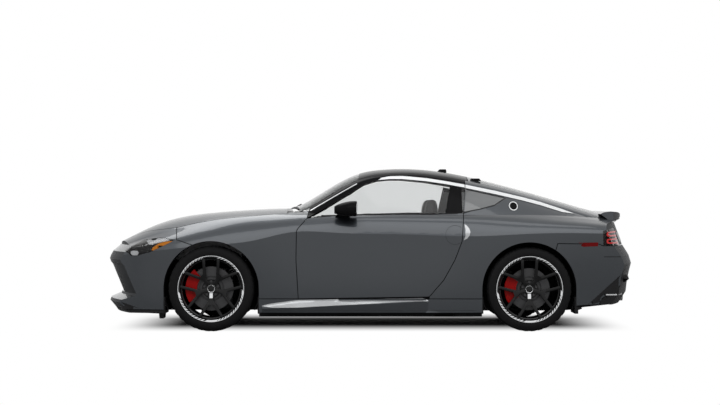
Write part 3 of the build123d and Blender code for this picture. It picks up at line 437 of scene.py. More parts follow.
def make_lip():
    """The machined lip: a thin plain outer ring and a slanted hatch inside it."""
    lip = turned([(0.2495, -0.004), (0.250, 0.0015), (0.2615, 0.0035), (0.2655, 0.0035), (0.2665, 0.0),
                  (0.258, -0.006)], WHEEL_STEPS)
    lip.data.materials.append(MACHINED)
    lip.data.materials.append(WHEEL_BLACK)
    for face in lip.data.polygons:
        reach = math.hypot(face.center.x, face.center.z)
        angle = clock(face.center)
        hatched = any(low < angle < high for low, high in HATCHED)
        plain = 170 < angle < 190 or 94 < angle < 104 or 256 < angle < 266
        if reach < 0.2615 and not plain and (not hatched or int(angle / 1.5) % 4 < 2):
            face.material_index = 1
    for vert in lip.data.vertices:
        if math.hypot(vert.co.x, vert.co.z) < 0.2503:
            vert.co = Matrix.Rotation(math.radians(4), 4, "Y") @ vert.co
    return lip


def make_wheel():
    """Barrel, spokes, lip, hub, nuts and plain cap, centred on the axle with the face at y = 0."""
    barrel = turned([(0.2645, -0.003), (0.250, -0.002), (0.245, -0.008), (0.240, -0.020), (0.233, -0.024),
                     (0.229, -0.060), (0.224, -0.120), (0.228, -0.205), (0.236, -0.205), (0.236, -0.120),
                     (0.242, -0.050), (0.250, -0.016), (0.2645, -0.009)])
    barrel.data.materials.append(WHEEL_BLACK)
    step = turned([(0.2326, -0.026), (0.2300, -0.040), (0.2320, -0.042), (0.2345, -0.027)])
    step.data.materials.append(MACHINED)
    hub = turned([(0.0, -0.066), (0.072, -0.066), (0.074, -0.050), (0.070, -0.041), (0.046, -0.044),
                  (0.034, -0.038), (0.0, -0.038)])
    hub.data.materials.append(WHEEL_BLACK)
    cap = turned([(0.0, -0.040), (0.029, -0.040), (0.029, -0.034), (0.026, -0.031), (0.0, -0.029)], 48)
    cap.data.materials.append(WHEEL_BLACK)
    ring = turned([(0.0262, -0.032), (0.0300, -0.034), (0.0300, -0.030), (0.0285, -0.0285),
                   (0.0268, -0.0292)], 48)
    ring.data.materials.append(MACHINED)
    parts = [barrel, step, make_spokes(), make_lip(), hub, cap, ring]
    nut = turned([(0.0, -0.046), (0.0125, -0.046), (0.0125, -0.040), (0.0105, -0.033), (0.008, -0.031),
                  (0.0, -0.031)], 12)
    nut.data.materials.append(AXLE_STEEL)
    for index in range(5):
        turn = Matrix.Rotation(math.radians(72 * index), 4, "Y")
        parts.append(copy_of(nut, turn @ Matrix.Translation((0, 0, NUT_CIRCLE))))
    bpy.data.objects.remove(nut)
    inlay = outlined([(-0.013, -0.033, -0.036), (0.013, -0.033, -0.036), (0.013, -0.024, -0.098),
                      (-0.013, -0.024, -0.098)])
    finish_with(inlay, "SOLIDIFY", thickness=0.003, offset=0)
    inlay.data.materials.append(MACHINED)
    return joined(parts + [inlay])


def make_tyre(radius, half):
    """A road tyre with rim guard, rounded shoulders, four grooves and notched shoulder blocks."""
    edge = [(0.246, half - 0.014), (0.252, half - 0.010), (0.259, half - 0.007), (0.268, half - 0.0055),
            (0.273, half - 0.002), (0.290, half), (0.309, half - 0.002), (0.325, half - 0.009),
            (radius - 0.006, half - 0.022), (radius - 0.001, half - 0.034), (radius, half - 0.046)]
    for place in (0.062, 0.021):
        edge += [(radius, place + 0.006), (radius - 0.007, place + 0.005), (radius - 0.007, place - 0.005),
                 (radius, place - 0.006)]
    tyre = turned(edge + [(reach, -y) for reach, y in reversed(edge)], 144)
    for vert in tyre.data.vertices:
        reach = math.hypot(vert.co.x, vert.co.z)
        if reach > radius - 0.008 and abs(vert.co.y) > 0.066 and round(clock(vert.co) / 2.5) % 4 == 0:
            vert.co.x *= 1 - 0.005 / reach
            vert.co.z *= 1 - 0.005 / reach
    return tyre


def make_disc(radius):
    """A vented disc with a groove round its hat."""
    return turned([(0.040, -0.0147), (radius, -0.0147), (radius, -0.005), (radius - 0.014, -0.005),
                   (radius - 0.014, 0.005), (radius, 0.005), (radius, 0.0147), (0.101, 0.0147),
                   (0.098, 0.010), (0.094, 0.010), (0.091, 0.0147), (0.040, 0.0147)], 72)


wheel = make_wheel()
for end, disc_r in (("front", 0.177), ("rear", 0.168)):
    low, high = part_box(f"tyre_{end}_left")
    hub_place = (Vector(low) + Vector(high)) / 2
    radius = (high[2] - low[2]) / 2
    half = (high[1] - low[1]) / 2
    tyre = make_tyre(radius, half)
    disc = make_disc(disc_r)
    disc_low, disc_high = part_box(f"disc_{end}_left")
    for side, sign in SIDES.items():
        turn = Matrix.Rotation(0 if sign > 0 else math.pi, 4, "Z")
        centre = Vector((hub_place.x, sign * hub_place.y, hub_place.z))
        face = Matrix.Translation((0, half - 0.002, 0))
        body = f"wheel_{end}_{side}"
        whole_wheel = copy_of(wheel, Matrix.Translation(centre) @ turn @ face)
        settle(whole_wheel, f"road_wheel_{end}_{side}", None, body, "wheel_black")
        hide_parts(f"rim_{end}_{side}")
        road_tyre = settle(copy_of(tyre, Matrix.Translation(centre) @ turn), f"road_tyre_{end}_{side}",
                           RUBBER, body, "tyre_rubber")
        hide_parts(f"tyre_{end}_{side}")
        middle = Vector((centre.x, sign * (disc_low[1] + disc_high[1]) / 2, centre.z))
        rotor = settle(copy_of(disc, Matrix.Translation(middle) @ turn), f"brake_disc_{end}_{side}", IRON,
                       body, "disc_steel")
        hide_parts(f"disc_{end}_{side}")
    for piece in (tyre, disc):
        bpy.data.objects.remove(piece)
bpy.data.objects.remove(wheel)

# ------------------------------------------------------------------ thin outer pieces, both sides
front_skin = skin_of("front_bumper", "front_fenders", "headlamps", "bonnet")
rear_skin = skin_of("quarter_panels", "rear_bumper", "tail_lamps", "hatch", "diffuser")
sill_skin = skin_of("sills")
rear_glass_skin = skin_of("quarter_glass", "quarter_panels")
rail_skin = skin_of("roof_rails", "quarter_panels", "roof", "windscreen")
LOW_BEAM = [(1929, 640), (1903, 646), (1871, 644), (1861, 628), (1875, 609), (1911, 608), (1928, 622)]
HIGH_BEAM = [(1808, 722), (1774, 734), (1709, 746), (1645, 742), (1608, 729), (1669, 715), (1726, 702),
             (1754, 692), (1782, 698), (1798, 714)]
AMBER_LINE = [(1756, 652), (1747, 672), (1702, 704), (1649, 719), (1587, 725), (1616, 709), (1690, 673),
              (1743, 649)]
TAIL_UPPER = [(-1892, 786), (-1900, 798), (-2004, 802), (-2004, 790), (-1906, 788), (-1906, 772),
              (-2004, 772), (-2004, 760), (-1900, 760), (-1892, 770)]
TAIL_LOWER = [(-1892, 730), (-1900, 742), (-2004, 744), (-2004, 732), (-1906, 732), (-1906, 716),
              (-2004, 714), (-2004, 702), (-1900, 704), (-1892, 714)]
MARKER_LINE = [(-1663, 712), (-1823, 714), (-1821, 684), (-1702, 680), (-1684, 690)]
# the door handle's crescent, a raised piece in light grey: the handle is real, its lightness a painted
# highlight
CRESCENT = [(-752, 857), (-768, 849), (-788, 826), (-798, 798), (-792, 770), (-772, 746), (-745, 732),
            (-757, 766), (-759, 814)]
HANDLE_RING = arc_band((-676, 774), 76, 2.4, -132, 132)
BADGE_CENTRE = (-1158, 1004)
BADGE_RIM = arc_band(BADGE_CENTRE, 33, 6, 0, 359.9)
PILLAR_LINE = [(-648, 1169), (-742, 1151), (-740, 946), (-604, 944)]
BELT_LINE = [(430, 918), (250, 922), (0, 930), (-300, 938), (-700, 944)]
SCREEN_EDGE = [(486, 968), (400, 1019), (300, 1078), (200, 1136), (110, 1186)]
# x, low, high of the sill blade's painted highlight, a light grey band
SILL_BLADE_HIGHLIGHT = [(872, 203, 207), (790, 190, 226), (591, 192, 252), (260, 210, 259), (-60, 226, 262),
              (-267, 237, 265), (-417, 242, 268), (-462, 243, 247)]
SILL_HIGHLIGHT_LINE = [(x, high) for x, low, high in SILL_BLADE_HIGHLIGHT] + [(x, low) for x, low, high in reversed(SILL_BLADE_HIGHLIGHT)]
# painted shade: a black band along the sill's lower edge, where it is shaded
SILL_SHADE_EDGE = [(900, 150), (900, 170), (-850, 170), (-850, 150)]
LAMP_OUTLINE = [(1983, 652), (1931, 605), (1885, 605), (1764, 638), (1600, 722), (1698, 752), (1838, 729)]
TAIL_SURROUND = [(-1884, 806), (-1898, 820), (-1985, 822), (-1985, 688), (-1889, 690)]
QUARTER_LINE = [(-761, 1146), (-1082, 1074), (-1098, 1068), (-1051, 1042), (-1004, 1011), (-875, 978),
                (-745, 954)]
DIFFUSER_WING = [(-2056, 492), (-2105, 474), (-2112, 430), (-2090, 380), (-1850, 238), (-1742, 208),
                 (-1742, 214)]
LAMP_TRIM = (LED_WHITE, "chassis", "lamp_glass")
AMBER_TRIM = (AMBER, "chassis", "lamp_glass")
GLOW_TRIM = (GLOW_RED, "chassis", "red_lamp")
MARKER_TRIM = (MARKER_RED, "chassis", "red_lamp")
SILL_HIGHLIGHT_TRIM = (HIGHLIGHT_GREY_PAINT, "chassis", "body_paint")
HANDLE_HIGHLIGHT_TRIM = (HIGHLIGHT_GREY_PAINT, "chassis", "blade")

for side, sign in SIDES.items():
    door = f"door_{side}"
    door_skin = skin_of(door)
    pane_skin = skin_of(f"door_glass_{side}")
    door_plastic = (BLACK_PLASTIC, door, "dark_plastic")
    door_black = (GLOSS_BLACK, door, "black_paint")
    # name, outline, surface it lies on, thickness, (finish, body, slot), step between cuts, depth
    side_plates = [
        ("lamp_bezel", LAMP_OUTLINE, front_skin, 0.0015, BLACK_TRIM, 0.02, 0.014),
        ("tail_surround", TAIL_SURROUND, rear_skin, 0.0008, BLACK_TRIM, 0.02, 0.0),
        ("quarter_seal", band(QUARTER_LINE, 7), rear_glass_skin, 0.002, PLASTIC_TRIM, 0.05, 0.0),
        # painted highlight: a light grey band on the sill blade, where its facets catch the light
        ("sill_blade_highlight", SILL_HIGHLIGHT_LINE, sill_skin, 0.003, SILL_HIGHLIGHT_TRIM, 0.014, 0.0),
        # painted shade: black band along the sill's lower edge
        ("sill_edge_shade", SILL_SHADE_EDGE, sill_skin, 0.002, PLASTIC_TRIM, 0.1, 0.0),
        ("low_beam", LOW_BEAM, front_skin, 0.0015, LAMP_TRIM, 0.03, 0.006),
        ("high_beam", HIGH_BEAM, front_skin, 0.0015, LAMP_TRIM, 0.03, 0.006),
        ("amber_reflector", AMBER_LINE, front_skin, 0.0015, AMBER_TRIM, 0.02, 0.0),
        ("tail_light_upper", TAIL_UPPER, rear_skin, 0.0015, GLOW_TRIM, 0.01, -0.002),
        ("tail_light_lower", TAIL_LOWER, rear_skin, 0.0015, GLOW_TRIM, 0.01, -0.002),
        ("side_marker", MARKER_LINE, rear_skin, 0.002, MARKER_TRIM, 0.03, -0.0015),
        # painted highlight: the handle crescent's light grey
        ("handle_crescent", CRESCENT, rear_skin, 0.006, HANDLE_HIGHLIGHT_TRIM, 0.02, 0.0),
        ("handle_ring", HANDLE_RING, door_skin, 0.0004, door_plastic, 0.02, 0.0),
        ("round_badge_rim", BADGE_RIM, rear_skin, 0.003, SILVER_TRIM, 0.02, 0.0),
        ("round_badge_blank", spot(BADGE_CENTRE, 30), rear_skin, 0.002, BLACK_TRIM, 0.02, 0.0),
        ("pillar_cover", PILLAR_LINE, pane_skin, 0.0015, door_black, 0.03, 0.0),
        ("belt_seal", band(BELT_LINE, 9), pane_skin, 0.004, door_plastic, 0.05, 0.0),
        # painted shade: a black band along the rear bumper's crease
        ("bumper_crease_shade", band([(-1872, 598), (-2040, 598)], 6), rear_skin, 0.001, PLASTIC_TRIM, 0.03, 0.0),
        ("diffuser_strip", band([(-1890, 293), (-2040, 293)], 9), rear_skin, 0.003, SILVER_TRIM, 0.03, 0.0),
        ("diffuser_wing", DIFFUSER_WING, rear_skin, 0.002, PLASTIC_TRIM, 0.03, 0.0),
        # a silver strip on the windscreen's edge moulding: the moulding is real, its brightness a painted
        # highlight
        ("screen_moulding_highlight", band(SCREEN_EDGE, 6), rail_skin, 0.003, SILVER_TRIM, 0.03, 0.0)]
    for name, outline, skin, thick, trim, step, depth in side_plates:
        plate(f"{name}_{side}", outline, skin, 1, sign, thick, *trim, step=step, depth=depth)


# ------------------------------------------------------------------ roof and screen details
def eased_box(low, high, name, material, body, slot, taper=(1.0, 1.0), width=0.006, shift=0.0):
    """A block drawn in towards its top and rounded, for covers and guards."""
    size = [high[index] - low[index] for index in range(3)]
    middle = [(high[index] + low[index]) / 2 for index in range(3)]
    piece = start(bpy.ops.mesh.primitive_cube_add, size=1)
    for vert in piece.data.vertices:
        top = vert.co.z > 0
        vert.co = (middle[0] + vert.co.x * size[0] * (taper[0] if top else 1) + (shift if top else 0),
                   middle[1] + vert.co.y * size[1] * (taper[1] if top else 1),
                   middle[2] + vert.co.z * size[2])
    finish_with(piece, "BEVEL", width=width, segments=4)
    return settle(piece, name, material, body, slot)


top_skin = skin_of("roof", "roof_rails", "windscreen", "hatch", "hatch_glass", "quarter_panels")


def top_of(x, y):
    """Height of the roof or glass at a place."""
    return top_skin.ray_cast(Vector((x, y, 3)), Vector((0, 0, -1)))[0].z


fin_foot = top_of(-0.606, 0)
eased_box((-0.650, -0.022, fin_foot - 0.004), (-0.560, 0.022, fin_foot + 0.026), "antenna_fin", *BLACK_TRIM,
          (0.62, 0.35), 0.006, -0.012)
HINGE_Y = 0.42
# distances of the pane's edges in from the mirror's outer edge and down from its top, in millimetres
PANE_ACROSS = (28, 170)
PANE_DOWN = (88, 24)
# hub, distance from it to the guards
ARCHES = {"front": (FRONT_HUB, 0.371), "rear": (REAR_HUB, 0.366)}
GUARD_THICK = 0.03
GUARD_ACROSS = (0.56, 0.84)
GUARD_LOW = 0.140
GUARD_HIGH = 0.275
for side, sign in SIDES.items():
    mirror_low, mirror_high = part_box(f"mirror_{side}")
    tip = 1000 * (mirror_high[1] if sign > 0 else mirror_low[1])
    y_low, y_high = sorted(tip - sign * inset for inset in PANE_ACROSS)
    z_low, z_high = (1000 * mirror_high[2] - drop for drop in PANE_DOWN)
    plate(f"mirror_pane_{side}", [(y_low, z_low), (y_high, z_low), (y_high, z_high), (y_low, z_high)],
          skin_of(f"mirror_{side}"), 0, -1, 0.003, MIRROR_GLASS, f"door_{side}", "black_paint")
    hinge_y = sign * HINGE_Y
    foot = top_of(-0.86, hinge_y)
    eased_box((-0.915, hinge_y - 0.030, foot - 0.004), (-0.815, hinge_y + 0.030, foot + 0.018),
              f"hinge_cover_{side}", GLOSS_BLACK, "hatch", "black_paint", (0.7, 0.7), 0.006)
    near, far = sorted(sign * place for place in GUARD_ACROSS)
    for end, (hub, reach) in ARCHES.items():
        for way, where in ((1, "fore"), (-1, "aft")):
            edge = hub.x + way * reach
            back, ahead = sorted((edge, edge + way * GUARD_THICK))
            eased_box((back, near, GUARD_LOW), (ahead, far, GUARD_HIGH), f"splash_guard_{end}_{where}_{side}",
                      *PLASTIC_TRIM, width=0.004)
screen_skin = skin_of("windscreen")
for index, (foot_y, far_y) in enumerate(((60, 600), (-460, 60)), 1):
    arm = [(655, foot_y), (622, (foot_y + far_y) / 2), (585, far_y)]
    plate(f"wiper_arm_{index}", band(arm, 15), screen_skin, 2, 1, 0.008, *PLASTIC_TRIM)


# ------------------------------------------------------------------ front and rear faces
def trimmed(node, name, place, upward, material, slot):
    """A chassis node's copy without what lies below a plane."""
    piece = copy_of(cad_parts[node], Matrix())
    in_edit(piece, lambda: bpy.ops.mesh.bisect(plane_co=place, plane_no=upward, clear_inner=True,
                                               use_fill=True))
    settle(piece, name, material, "chassis", slot)
    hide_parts(node)


LIP_BOTTOM = (0, 0, 0.146)
SHELL_BOTTOM = (0.90, 0, 0.107)
SHELL_UPWARD = (-0.0417, 0, 1)
trimmed("splitter", "front_lip", LIP_BOTTOM, (0, 0, 1), BLACK_PLASTIC, "dark_plastic")
trimmed("unibody", "inner_shell", SHELL_BOTTOM, SHELL_UPWARD, PRIMER, "frame_black")
LIP_WEDGE = [(2036, 240), (1822, 173), (2000, 173), (2034, 196)]
for side, sign in SIDES.items():
    plate(f"lip_wedge_{side}", LIP_WEDGE, front_skin, 1, sign, 0.002, *PLASTIC_TRIM)
    near, far = sorted((sign * 0.66, sign * 0.80))
    eased_box((1.664, near, 0.100), (1.700, far, 0.150), f"air_deflector_{side}", *PLASTIC_TRIM, (1.3, 1.0),
              0.004)
grille_skin = skin_of("grille")
grille_low, grille_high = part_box("grille")
SLATS = 7
for index in range(SLATS):
    height = 1000 * (grille_low[2] + (grille_high[2] - grille_low[2]) * (index + 1) / (SLATS + 1))
    reach = 1000 * grille_high[1] - 30
    plate(f"grille_slat_{index + 1}", band([(-reach, height), (0, height), (reach, height)], 9), grille_skin,
          0, 1, 0.016, *PLASTIC_TRIM, step=0.1)
plate("rear_blank_plate", [(-155, 560), (155, 560), (155, 670), (-155, 670)], rear_skin, 0, -1, 0.004,
      *SILVER_TRIM, step=0.05)
plate("lamp_bridge", [(-560, 712), (560, 712), (560, 790), (-560, 790)], skin_of("hatch"), 0, -1, 0.003,
      GLOSS_BLACK, "hatch", "black_paint", step=0.05)

# ------------------------------------------------------------------ under the bonnet
RIBS = 6
block_low, block_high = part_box("engine")
cover_half = 0.42 * (block_high[1] - block_low[1])
cover_run = min(0.28, 0.4 * (block_high[0] - block_low[0]))
cover_rear = block_high[0] - 2 * cover_run
cover_top = block_high[2]
eased_box((cover_rear - 0.03, -cover_half, cover_top - 0.004),
          (block_high[0] - 0.03, cover_half, cover_top + 0.018), "engine_cover", *PLASTIC_TRIM, (0.92, 0.92),
          0.006)
for index in range(RIBS):
    line = (index - (RIBS - 1) / 2) * cover_half / 3.6
    eased_box((cover_rear + 0.02, line - 0.008, cover_top + 0.016),
              (block_high[0] - 0.08, line + 0.008, cover_top + 0.022), f"cover_rib_{index + 1}",
              *PLASTIC_TRIM, width=0.002)

# ------------------------------------------------------------------ cabin
SEAT_MIDDLE = 0.37
STEERING_PLACE = Vector((0.185, SEAT_MIDDLE, 0.83))
STEERING_RAKE = math.radians(25)
SEAT_VOXEL = 0.011
SWELL_CAP = 0.016
# the flat run in from a pad's edge, the half widths of its channels and flank seams, and how far it faces out
PAD_FADE = 0.03
CHANNEL_HALF = 0.007
SEAM_HALF = 0.008
PAD_FACING = 0.4
CUSHION_SIDE = [(150, 330), (166, 408), (128, 450), (-60, 432), (-270, 424), (-350, 400), (-395, 335)]
BACK_SIDE = [(-305, 440), (-372, 650), (-438, 868), (-470, 890), (-530, 888), (-548, 860), (-500, 640),
             (-440, 425)]
HEAD_SIDE = [(-455, 905), (-468, 1040), (-490, 1056), (-530, 1056), (-546, 1036), (-546, 905)]


def slab(side, half):
    """A block of a drawn side view, as wide as twice the half width, centred on y = 0."""
    piece = outlined([(x / 1000, half, z / 1000) for x, z in side])

    def widen():
        bpy.ops.mesh.extrude_region_move(TRANSFORM_OT_translate={"value": (0, -2 * half, 0)})
        close_seams()

    in_edit(piece, widen)
    return piece


def swollen(piece, cap):
    """Fill a block with air as stuffing does, and keep each point near where it began."""
    finish_with(piece, "BEVEL", width=0.022, segments=3)
    finish_with(piece, "REMESH", mode="VOXEL", voxel_size=SEAT_VOXEL)
    rest = [vert.co.copy() for vert in piece.data.vertices]
    alone(piece)
    cloth = piece.modifiers.new("stuffing", "CLOTH")
    cloth.settings.use_pressure = True
    cloth.settings.uniform_pressure_force = 4.0
    cloth.settings.effector_weights.gravity = 0.0
    for index in range(1, 21):
        bpy.context.scene.frame_set(index)
    bpy.ops.object.modifier_apply(modifier=cloth.name)
    bpy.context.scene.frame_set(1)
    for vert, before in zip(piece.data.vertices, rest):
        move = vert.co - before
        if move.length > cap:
            vert.co = before + move.normalized() * cap
    finish_with(piece, "SUBSURF", levels=1)
    return piece


def sew(piece, along, across, places, half, depth, axis):
    """Press sewn channels into the middle of a pad: lines across it at some places along it."""
    for vert in piece.data.vertices:
        inside = min(max((half - abs(vert.co.y)) / PAD_FADE, 0), 1)
        if vert.normal.dot(across) > PAD_FACING:
            for place in places:
                gap = (vert.co[along] - place) / CHANNEL_HALF
                vert.co[axis] -= depth * inside * math.exp(-gap * gap)
            edge = (abs(vert.co.y) - half) / SEAM_HALF
            vert.co[axis] -= depth * math.exp(-edge * edge)


def bolster(piece, side, half, rise):
    """Raise the flanks of a pad towards the sitter."""
    for vert in piece.data.vertices:
        share = min(max((abs(vert.co.y) - half) / 0.06, 0), 1)
        vert.co[side] += rise * share * share * (3 - 2 * share)


base = slab([(95, 215), (120, 322), (-385, 322), (-360, 215)], 0.20)
finish_with(base, "BEVEL", width=0.01, segments=2)
cushion = slab(CUSHION_SIDE, 0.238)
back = slab(BACK_SIDE, 0.228)
head = slab(HEAD_SIDE, 0.125)
for piece in (cushion, back, head):
    swollen(piece, SWELL_CAP)
sew(cushion, 0, Vector((0, 0, 1)), (-0.20, -0.11, -0.02, 0.07), 0.145, 0.007, 2)
sew(back, 2, Vector((1, 0, 0.3)), (0.50, 0.59, 0.68, 0.77), 0.135, 0.007, 0)
bolster(cushion, 2, 0.15, 0.022)
bolster(back, 0, 0.14, 0.030)
for side, sign in SIDES.items():
    shift = Matrix.Translation((0, sign * SEAT_MIDDLE, 0))
    frame_piece = settle(copy_of(base, shift), f"seat_base_{side}", *CABIN_PLASTIC)
    for name, piece in (("cushion", cushion), ("back", back), ("headrest", head)):
        pad = settle(copy_of(piece, shift), f"seat_{name}_{side}", *CABIN_LEATHER, 60)
    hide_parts("seats")
for piece in (base, cushion, back, head):
    bpy.data.objects.remove(piece)

rim = start(bpy.ops.mesh.primitive_torus_add, major_segments=96, minor_segments=16, major_radius=0.170,
            minor_radius=0.0145)
hub = start(bpy.ops.mesh.primitive_cylinder_add, vertices=48, radius=0.058, depth=0.036)
finish_with(hub, "BEVEL", width=0.010, segments=4)
stem = start(bpy.ops.mesh.primitive_cylinder_add, vertices=32, radius=0.0275, depth=0.160,
             location=(0, 0, -0.092))
spokes = []
for turn in (0, 180, 270):
    spoke = start(bpy.ops.mesh.primitive_cube_add, size=1)
    spoke.data.transform(Matrix.Rotation(math.radians(turn), 4, "Z") @ Matrix.Translation((0.108, 0, 0)) @
                         Matrix.Diagonal((0.115, 0.034, 0.014, 1)))
    finish_with(spoke, "BEVEL", width=0.004, segments=3)
    spokes.append(spoke)
stem.data.transform(stem.matrix_world)
stem.matrix_world = Matrix()
steering = joined([rim, hub, stem] + spokes)
column_axis = Vector((-math.cos(STEERING_RAKE), 0, math.sin(STEERING_RAKE)))
across_axis = Vector((0, 1, 0))
up_axis = column_axis.cross(across_axis)
steering.data.transform(Matrix.Translation(STEERING_PLACE) @
                        Matrix((across_axis, up_axis, column_axis)).transposed().to_4x4())
settle(steering, "driver_wheel", LEATHER, "steering", "cabin_trim")
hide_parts("steering_wheel")

eased_box((0.335, 0.245, 0.842), (0.455, 0.495, 0.905), "gauge_hood", TRIM, "chassis", "cabin_trim",
          (0.8, 0.85), 0.02)
eased_box((0.300, -0.115, 0.745), (0.330, 0.115, 0.865), "centre_screen", *CABIN_BLACK, width=0.005)
for index, place in enumerate((-0.60, -0.22, 0.19, 0.58), 1):
    eased_box((0.304, place - 0.045, 0.775), (0.332, place + 0.045, 0.825), f"air_vent_{index}",
              *CABIN_PLASTIC, width=0.004)
eased_box((-0.020, -0.050, 0.500), (0.090, 0.050, 0.530), "shift_gaiter", *CABIN_LEATHER, (0.5, 0.5), 0.008)
knob = start(bpy.ops.mesh.primitive_uv_sphere_add, segments=32, ring_count=16, radius=0.025)
rod = start(bpy.ops.mesh.primitive_cylinder_add, vertices=24, radius=0.009, depth=0.09)
rod.data.transform(Matrix.Translation((0, 0, -0.05)))
lever = joined([knob, rod])
lever.data.transform(Matrix.Translation((0.035, 0, 0.612)))
settle(lever, "shift_lever", *CABIN_BLACK)
CARD_LINE = [(430, 380), (430, 850), (-560, 880), (-600, 640), (-480, 380)]
ARM_REST_LINE = [(250, 610), (250, 650), (-380, 670), (-380, 600)]
INSIDE = 0.45
for side, sign in SIDES.items():
    door = f"door_{side}"
    inner = skin_of(door)
    plate(f"door_card_{side}", CARD_LINE, inner, 1, sign, 0.004, TRIM, door, "cabin_trim", start_at=INSIDE,
          step=0.08)
    plate(f"arm_rest_{side}", ARM_REST_LINE, inner, 1, sign, 0.050, LEATHER, door, "cabin_trim",
          start_at=INSIDE, step=0.1)

# ------------------------------------------------------------------ stage, light and camera
FLOOR_HALF = 40
# where the shadow's patch gives way to white for the eye, and the floor to white in reflections
FADE_ALONG = (1.55, 2.2)
FADE_ACROSS = (0.35, 1.3)
FAR_ALONG = (2.6, 6.0)
FAR_ACROSS = (2.2, 6.0)
SHADOW_SHIFT = 0.35
# the floor's grey under the car, darkened there as a painted shadow, and beyond it, and where one turns into
# the other
FLOOR_SHADE = (0.12, 0.34)
SHADE_ALONG = (1.3, 2.3)
SHADE_ACROSS = (0.9, 1.5)
# the fill's strength low down and overhead, and the upward part of a direction where it rises
FILL_LOW = 0.40
FILL_HIGH = 0.62
FILL_RISE = (0.25, 0.95)


def math_node(tree, operation, *sources):
    """A math node fed by sockets or numbers; gives its output socket."""
    node = tree.nodes.new("ShaderNodeMath")
    node.operation = operation
    for slot, source in zip(node.inputs, sources):
        if isinstance(source, (int, float)):
            slot.default_value = source
        else:
            tree.links.new(source, slot)
    return node.outputs["Value"]


def eased(tree, source, low, high, start_value=0.0, end_value=1.0):
    """A smooth step of a value between two places."""
    node = tree.nodes.new("ShaderNodeMapRange")
    node.interpolation_type = "SMOOTHSTEP"
    tree.links.new(source, node.inputs["Value"])
    limits = {"From Min": low, "From Max": high, "To Min": start_value, "To Max": end_value}
    for label, value in limits.items():
        node.inputs[label].default_value = value
    return node.outputs["Result"]


def make_floor():
    """A pale floor that keeps the car's shadow, with a painted shadow darkening its grey under the car, and
    fades to the white background round it.
    """
    bpy.ops.mesh.primitive_plane_add(size=2 * FLOOR_HALF)
    floor = bpy.context.object
    floor.name = "floor"
    material = bpy.data.materials.new("pale_floor")
    material.use_nodes = True
    tree = material.node_tree
    shader = tree.nodes["Principled BSDF"]
    shader.inputs["Roughness"].default_value = 0.9
    shader.inputs["Specular IOR Level"].default_value = 0.1
    place = tree.nodes.new("ShaderNodeTexCoord")
    split = tree.nodes.new("ShaderNodeSeparateXYZ")
    path = tree.nodes.new("ShaderNodeLightPath")
    white = tree.nodes.new("ShaderNodeEmission")
    mix = tree.nodes.new("ShaderNodeMixShader")
    tree.links.new(place.outputs["Object"], split.inputs["Vector"])
    along = math_node(tree, "ABSOLUTE", split.outputs["X"])
    across = math_node(tree, "ABSOLUTE", math_node(tree, "ADD", split.outputs["Y"], SHADOW_SHIFT))
    shadow = math_node(tree, "MULTIPLY", eased(tree, along, *FADE_ALONG, 1.0, 0.0),
                       eased(tree, across, *FADE_ACROSS, 1.0, 0.0))
    near = math_node(tree, "SUBTRACT", 1.0, shadow)
    far = math_node(tree, "MAXIMUM", eased(tree, along, *FAR_ALONG), eased(tree, across, *FAR_ACROSS))
    # painted shadow: the floor's grey runs from FLOOR_SHADE's dark value under the car to its light value
    # beyond
    shade = math_node(tree, "MAXIMUM", eased(tree, along, *SHADE_ALONG), eased(tree, across, *SHADE_ACROSS))
    tree.links.new(math_node(tree, "MULTIPLY_ADD", shade, FLOOR_SHADE[1] - FLOOR_SHADE[0], FLOOR_SHADE[0]),
                   shader.inputs["Base Color"])
    by_eye = math_node(tree, "MAXIMUM", path.outputs["Is Camera Ray"], path.outputs["Is Transmission Ray"])
    in_gloss = math_node(tree, "MULTIPLY", path.outputs["Is Glossy Ray"], far)
    tree.links.new(math_node(tree, "MULTIPLY_ADD", by_eye, near, in_gloss), mix.inputs["Fac"])
    tree.links.new(shader.outputs["BSDF"], mix.inputs[1])
    tree.links.new(white.outputs["Emission"], mix.inputs[2])
    tree.links.new(mix.outputs["Shader"], tree.nodes["Material Output"].inputs["Surface"])
    floor.data.materials.append(material)


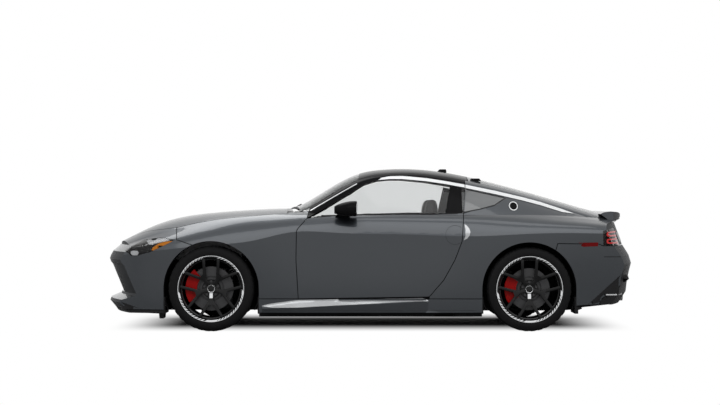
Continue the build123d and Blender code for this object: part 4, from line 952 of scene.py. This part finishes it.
def make_world():
    """A white room to the eye, and a soft grey fill that is dim near the horizon and brighter overhead."""
    world = bpy.data.worlds.new("studio")
    bpy.context.scene.world = world
    world.use_nodes = True
    tree = world.node_tree
    fill = tree.nodes["Background"]
    place = tree.nodes.new("ShaderNodeTexCoord")
    split = tree.nodes.new("ShaderNodeSeparateXYZ")
    path = tree.nodes.new("ShaderNodeLightPath")
    fill.inputs["Color"].default_value = (1, 1, 1, 1)
    white = tree.nodes.new("ShaderNodeBackground")
    white.inputs["Color"].default_value = (1, 1, 1, 1)
    white.inputs["Strength"].default_value = 1.0
    mix = tree.nodes.new("ShaderNodeMixShader")
    tree.links.new(place.outputs["Generated"], split.inputs["Vector"])
    tree.links.new(eased(tree, split.outputs["Z"], *FILL_RISE, FILL_LOW, FILL_HIGH), fill.inputs["Strength"])
    by_eye = math_node(tree, "MAXIMUM", path.outputs["Is Camera Ray"], path.outputs["Is Transmission Ray"])
    tree.links.new(math_node(tree, "MAXIMUM", by_eye, path.outputs["Is Glossy Ray"]), mix.inputs["Fac"])
    tree.links.new(fill.outputs["Background"], mix.inputs[1])
    tree.links.new(white.outputs["Background"], mix.inputs[2])
    tree.links.new(mix.outputs["Shader"], tree.nodes["World Output"].inputs["Surface"])


def add_softbox(name, place, target, size, power):
    """A rectangular area lamp aimed at a point."""
    lamp = bpy.data.lights.new(name, "AREA")
    lamp.shape = "RECTANGLE"
    lamp.size, lamp.size_y = size
    lamp.energy = power
    holder = bpy.data.objects.new(name, lamp)
    holder.location = place
    holder.visible_transmission = False
    holder.rotation_euler = (Vector(target) - Vector(place)).to_track_quat("-Z", "Y").to_euler()
    bpy.context.scene.collection.objects.link(holder)


CAMERA_PLACE = (0.085, 15.5, 1.034)
CAMERA_LENS = 91.3


def make_camera():
    """The side view, level, from the car's left."""
    lens = bpy.data.cameras.new("camera")
    lens.lens = CAMERA_LENS
    lens.sensor_width = 36
    holder = bpy.data.objects.new("camera", lens)
    holder.location = CAMERA_PLACE
    holder.rotation_euler = (math.radians(90), 0, math.radians(180))
    bpy.context.scene.collection.objects.link(holder)
    bpy.context.scene.camera = holder


make_floor()
make_world()
add_softbox("near_light", (-0.5, 4.1, 3.7), (0, 0, 0.5), (8.0, 2.2), 95)
add_softbox("top_light", (2.2, -1.35, 5.5), (0.6, 0, 0.5), (4.4, 2.7), 150)
add_softbox("rear_light", (-1.5, 1.8, 5.4), (-1.0, 0, 0.5), (4.0, 1.4), 30)
make_camera()
bpy.context.scene.view_settings.view_transform = "Standard"
